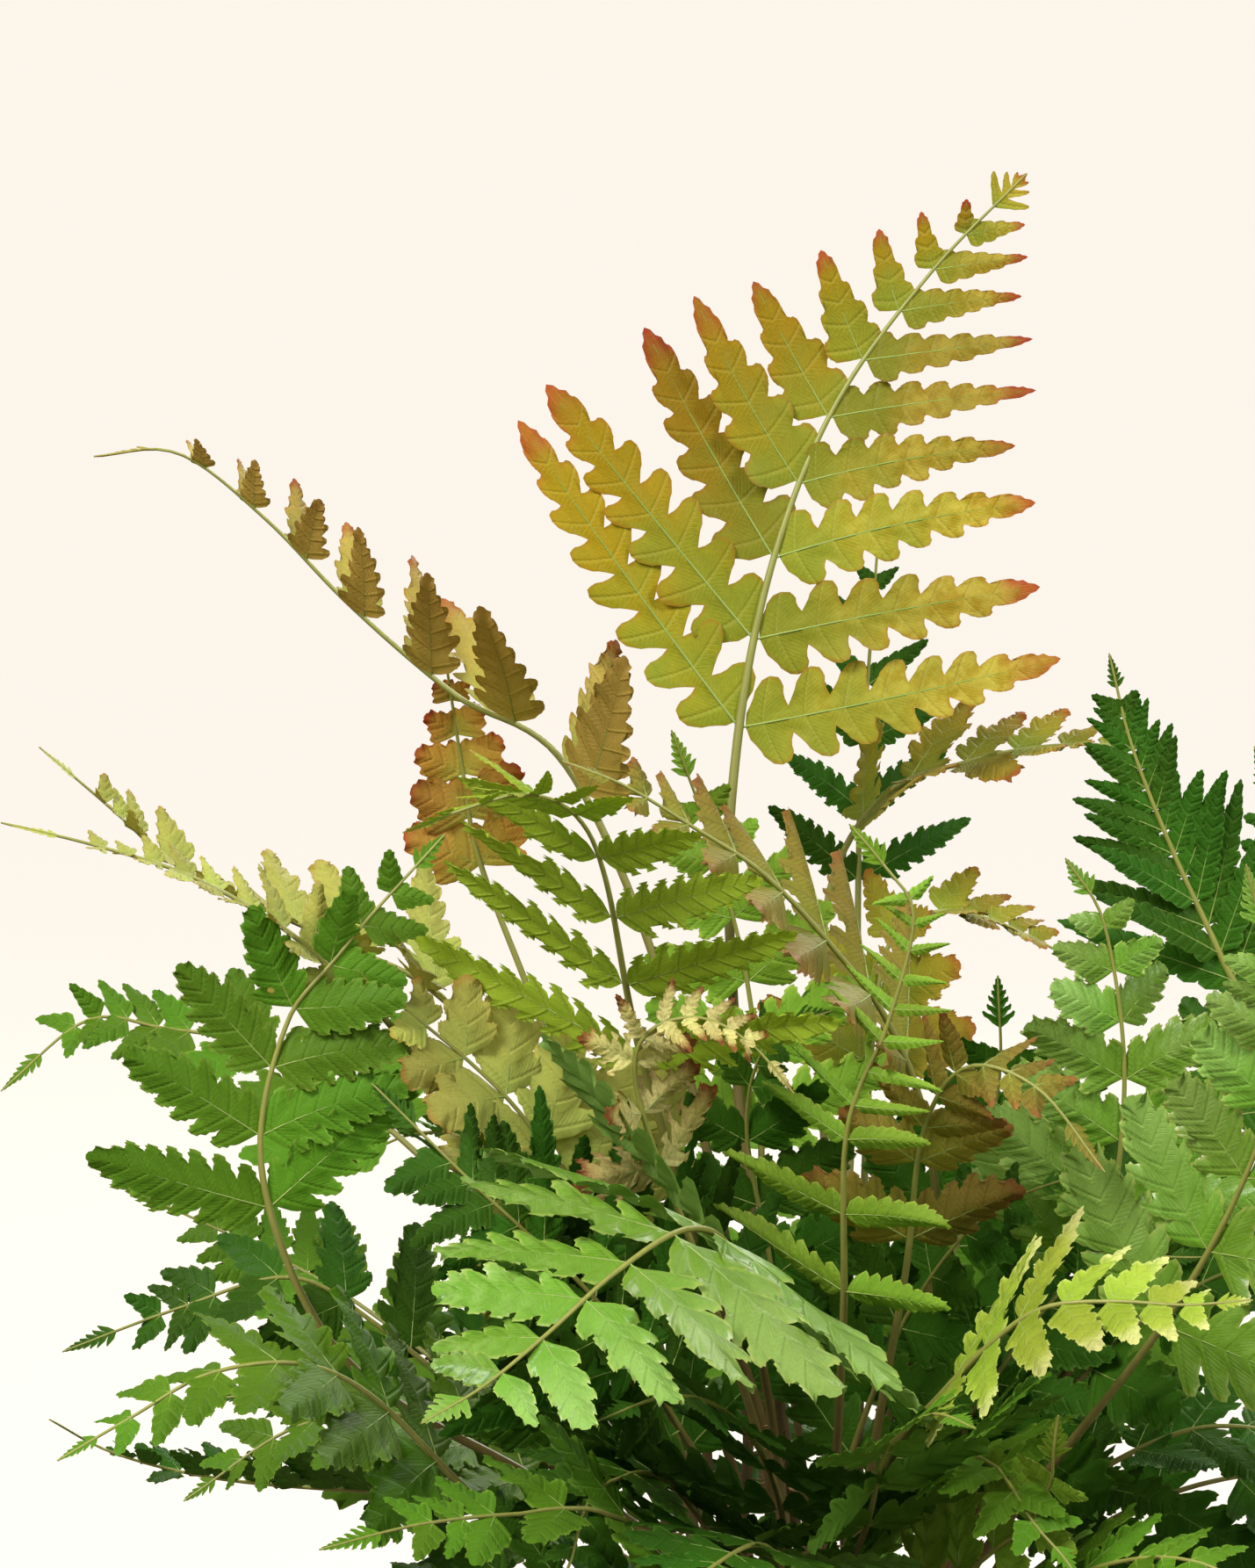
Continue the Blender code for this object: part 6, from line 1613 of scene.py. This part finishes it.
def build_rootstock():
    profile = [(0, ROOT_BOTTOM), (ROOT_RADIUS - 0.5, ROOT_BOTTOM)]
    for radius in np.linspace(ROOT_RADIUS - 0.3, 3.0, 14):
        profile.append((radius, root_height(radius) - 0.5))
    profile.append((0, ROOT_TOP - 0.5))
    points, faces = turned(profile, 64)
    points = np.array(points)
    is_top = points[:, 2] > ROOT_BOTTOM + 1
    points[is_top, 2] += 0.7 * bumpy(points[is_top, 0], points[is_top, 1], 3.0, SEED + 1)
    return add_object("crown", mesh_of("crown", points, faces))


def top_of(obj, lowest, inner, outer):
    """A copy of the faces that face up, above a height and between two radii, to set things on."""
    mesh = obj.data
    kept = [f for f in mesh.polygons if f.normal.z > 0.4 and f.center.z > lowest * MM
            and inner * MM < math.hypot(f.center.x, f.center.y) < outer * MM]
    used = sorted({v for f in kept for v in f.vertices})
    place = {v: k for k, v in enumerate(used)}
    points = [mesh.vertices[v].co / MM for v in used]
    return add_object(obj.name + "_top", mesh_of("top", [tuple(p) for p in points],
                                                 [[place[v] for v in f.vertices] for f in kept]))


def scale_shape():
    """One narrow papery scale, 4 mm long, leaning up from its foot."""
    points = [(0, 0, 0), (0.45, 0.5, 1.4), (-0.45, 0.5, 1.4), (0, 0.36, 1.5), (0, 0.72, 1.5),
              (0.1, 1.5, 4.2)]
    faces = [(0, 1, 3), (0, 3, 2), (0, 4, 1), (0, 2, 4), (5, 3, 1), (5, 2, 3), (5, 1, 4), (5, 4, 2)]
    return add_object("scale_shape", mesh_of("scale_shape", points, faces))


def crumb_shape(name, size, seed):
    """An uneven lump."""
    ball = bmesh.new()
    bmesh.ops.create_icosphere(ball, subdivisions=1, radius=1.0)
    draw = np.random.default_rng(seed)
    points = [np.array(v.co) * size * draw.uniform(0.7, 1.2) for v in ball.verts]
    faces = [[v.index for v in f.verts] for f in ball.faces]
    ball.free()
    mesh = mesh_of(name, points, faces)
    mesh.shade_flat()
    return add_object(name, mesh)


def build_plant():
    leaf_materials = make_leaf_materials()
    stalk_finish, midrib_finish = make_stalk_material(), make_midrib_material()
    scale_finish = make_scale_material()
    scale = scale_shape()
    tree = make_frond_tree()
    for frond in grow_fronds():
        mesh, midribs = frond_blades(frond)
        mesh.materials.append(leaf_materials[frond.finish])
        obj = add_object(frond.name + "_frond", mesh)
        stalk = lines_object("stalk_line", [stalk_line(frond)])
        ribs = lines_object("midrib_lines", midribs)
        settle(obj, tree, Stalk=stalk, Midribs=ribs, Stalk_sides=8, Midrib_sides=5,
               Stalk_finish=stalk_finish, Midrib_finish=midrib_finish, Scale=scale,
               Scale_finish=scale_finish, Scales_a_square_metre=100000.0, Seed=frond.index)
        for spare in (stalk, ribs):
            bpy.data.objects.remove(spare, do_unlink=True)
        keep(obj, frond.name)
    bpy.data.objects.remove(scale, do_unlink=True)


def keep(obj, node=None):
    """Makes an object a piece of the plant, in place of a solid if one is named."""
    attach(obj, "root")
    if node:
        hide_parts(node)
    return obj


def build_foot():
    """Pot, compost and crown, with what lies on them."""
    pot = build_pot()
    pot.data.materials.clear()
    pot.data.materials.append(make_clay_material())
    keep(pot, "pot")
    soil = build_soil()
    soil.data.materials.append(make_compost_material())
    crown = build_rootstock()
    crown_finish = make_crumb_material("crown", (60, 40, 26), (112, 78, 50))
    crown.data.materials.append(crown_finish)
    tree = make_scatter_tree("crumbs")
    kinds = [
        ("compost_crumbs", soil, (1.0, 1.0, 0.7), 110000.0, 0.5, 1.3, (46, 32, 22),
         (98, 72, 48), "compost", 3),
        ("bark_chips", soil, (3.4, 1.8, 0.7), 16000.0, 0.5, 1.2, (84, 54, 34), (150, 106, 68), "compost", 5),
        ("perlite", soil, (1.2, 1.1, 1.0), 9000.0, 0.5, 1.1, (196, 192, 184), (232, 228, 220), "compost", 7)]
    for name, ground, size, density, smallest, largest, dark, pale, slot, seed in kinds:
        surface = top_of(ground, SOIL_TOP - 4, ROOT_RADIUS + 2, 67)
        crumb = crumb_shape("crumb", np.array(size), seed)
        finish = make_crumb_material(name, dark, pale)
        settle(surface, tree, Crumb=crumb, Crumbs_a_square_metre=density, Smallest=smallest,
               Largest=largest, Finish=finish, Seed=seed)
        surface.name = name
        bpy.data.objects.remove(crumb, do_unlink=True)
        keep(surface)
    surface = top_of(crown, ROOT_TOP - 9, 0, ROOT_RADIUS)
    scale = scale_shape()
    settle(surface, tree, Crumb=scale, Crumbs_a_square_metre=500000.0, Smallest=0.8, Largest=1.9,
           Finish=make_crumb_material("crown_scales", (84, 52, 30), (158, 112, 70)), Seed=SEED)
    surface.name = "crown_scales"
    bpy.data.objects.remove(scale, do_unlink=True)
    keep(surface)
    keep(soil, "soil")
    keep(crown, "rootstock")


def area_light(name, place, target, size, watts, colour):
    light = bpy.data.lights.new(name, "AREA")
    light.shape, light.size, light.energy, light.color = "DISK", size, watts, colour
    obj = add_object(name, light)
    obj.location = place
    obj.rotation_euler = (Vector(target) - Vector(place)).to_track_quat("-Z", "Y").to_euler()


# The studio, in metres but for the floor. The floor glows only to the camera, so that it ends
# in the backdrop's colour without lighting the plant from below.
FLOOR_REACH = 9000
FLOOR_COLOUR = (0.18, 0.155, 0.12, 1.0)
GLOW_COLOUR = (1.0, 0.949, 0.876, 1.0)
FLOOR_GLOW = 0.89
SKY_COLOUR = (1.0, 0.97, 0.92, 1.0)
SKY_STRENGTH = 0.46
BACKDROP_COLOUR = (0.973, 0.915, 0.83, 1.0)
LIT_POINT = (0.0, 0.0, 0.35)
# Each light's name, place, diameter, watts and colour.
STUDIO_LIGHTS = (
    ("key", (-1.5, -1.7, 2.3), 1.3, 100, (1.0, 0.98, 0.94)),
    ("back", (0.9, 2.0, 1.7), 1.4, 45, (1.0, 0.97, 0.9)),
    ("side", (1.6, -1.4, 1.9), 0.9, 44, (0.95, 0.98, 1.0)))

# The camera, in metres and degrees; the lens and its film in millimetres.
CAMERA_TARGET = (-0.052, 0.0, 0.420)
CAMERA_RISE = 4
CAMERA_DISTANCE = 1.6
LENS = 124
FILM_WIDTH = 36


def build_studio():
    far = FLOOR_REACH
    corners = [(-far, -far, 0), (far, -far, 0), (far, far, 0), (-far, far, 0)]
    floor = add_object("floor", mesh_of("floor", corners, [(0, 1, 2, 3)]))
    finish, w = new_material("floor")
    glow = w.math("MULTIPLY", w.add("ShaderNodeLightPath"), FLOOR_GLOW)
    finish_material(w, w.add("ShaderNodeBsdfPrincipled", named={
        "Base Color": FLOOR_COLOUR, "Roughness": 1.0, "Specular IOR Level": 0.0,
        "Emission Color": GLOW_COLOUR, "Emission Strength": glow}))
    floor.data.materials.append(finish)
    world = bpy.data.worlds.new("studio")
    world.use_nodes = True
    w = Wiring(world.node_tree)
    lit = world.node_tree.nodes["Background"]
    lit.inputs[0].default_value = SKY_COLOUR
    lit.inputs[1].default_value = SKY_STRENGTH
    seen = w.add("ShaderNodeBackground", BACKDROP_COLOUR, 1.0)
    both = w.add("ShaderNodeMixShader", w.add("ShaderNodeLightPath"), lit.outputs[0], seen)
    w.tree.links.new(both, world.node_tree.nodes["World Output"].inputs[0])
    bpy.context.scene.world = world
    bpy.context.scene.view_settings.view_transform = "Standard"
    for name, place, size, watts, colour in STUDIO_LIGHTS:
        area_light(name, place, LIT_POINT, size, watts, colour)


def place_camera():
    lens = bpy.data.cameras.new("camera")
    lens.lens = LENS
    lens.sensor_width = FILM_WIDTH
    lens.clip_start, lens.clip_end = 0.05, 60
    obj = add_object("camera", lens)
    rise = math.radians(CAMERA_RISE)
    back = Vector((0.0, -math.cos(rise), math.sin(rise)))
    obj.location = Vector(CAMERA_TARGET) + back * CAMERA_DISTANCE
    obj.rotation_euler = (-back).to_track_quat("-Z", "Y").to_euler()
    bpy.context.scene.camera = obj


build_plant()
build_foot()
build_studio()
place_camera()
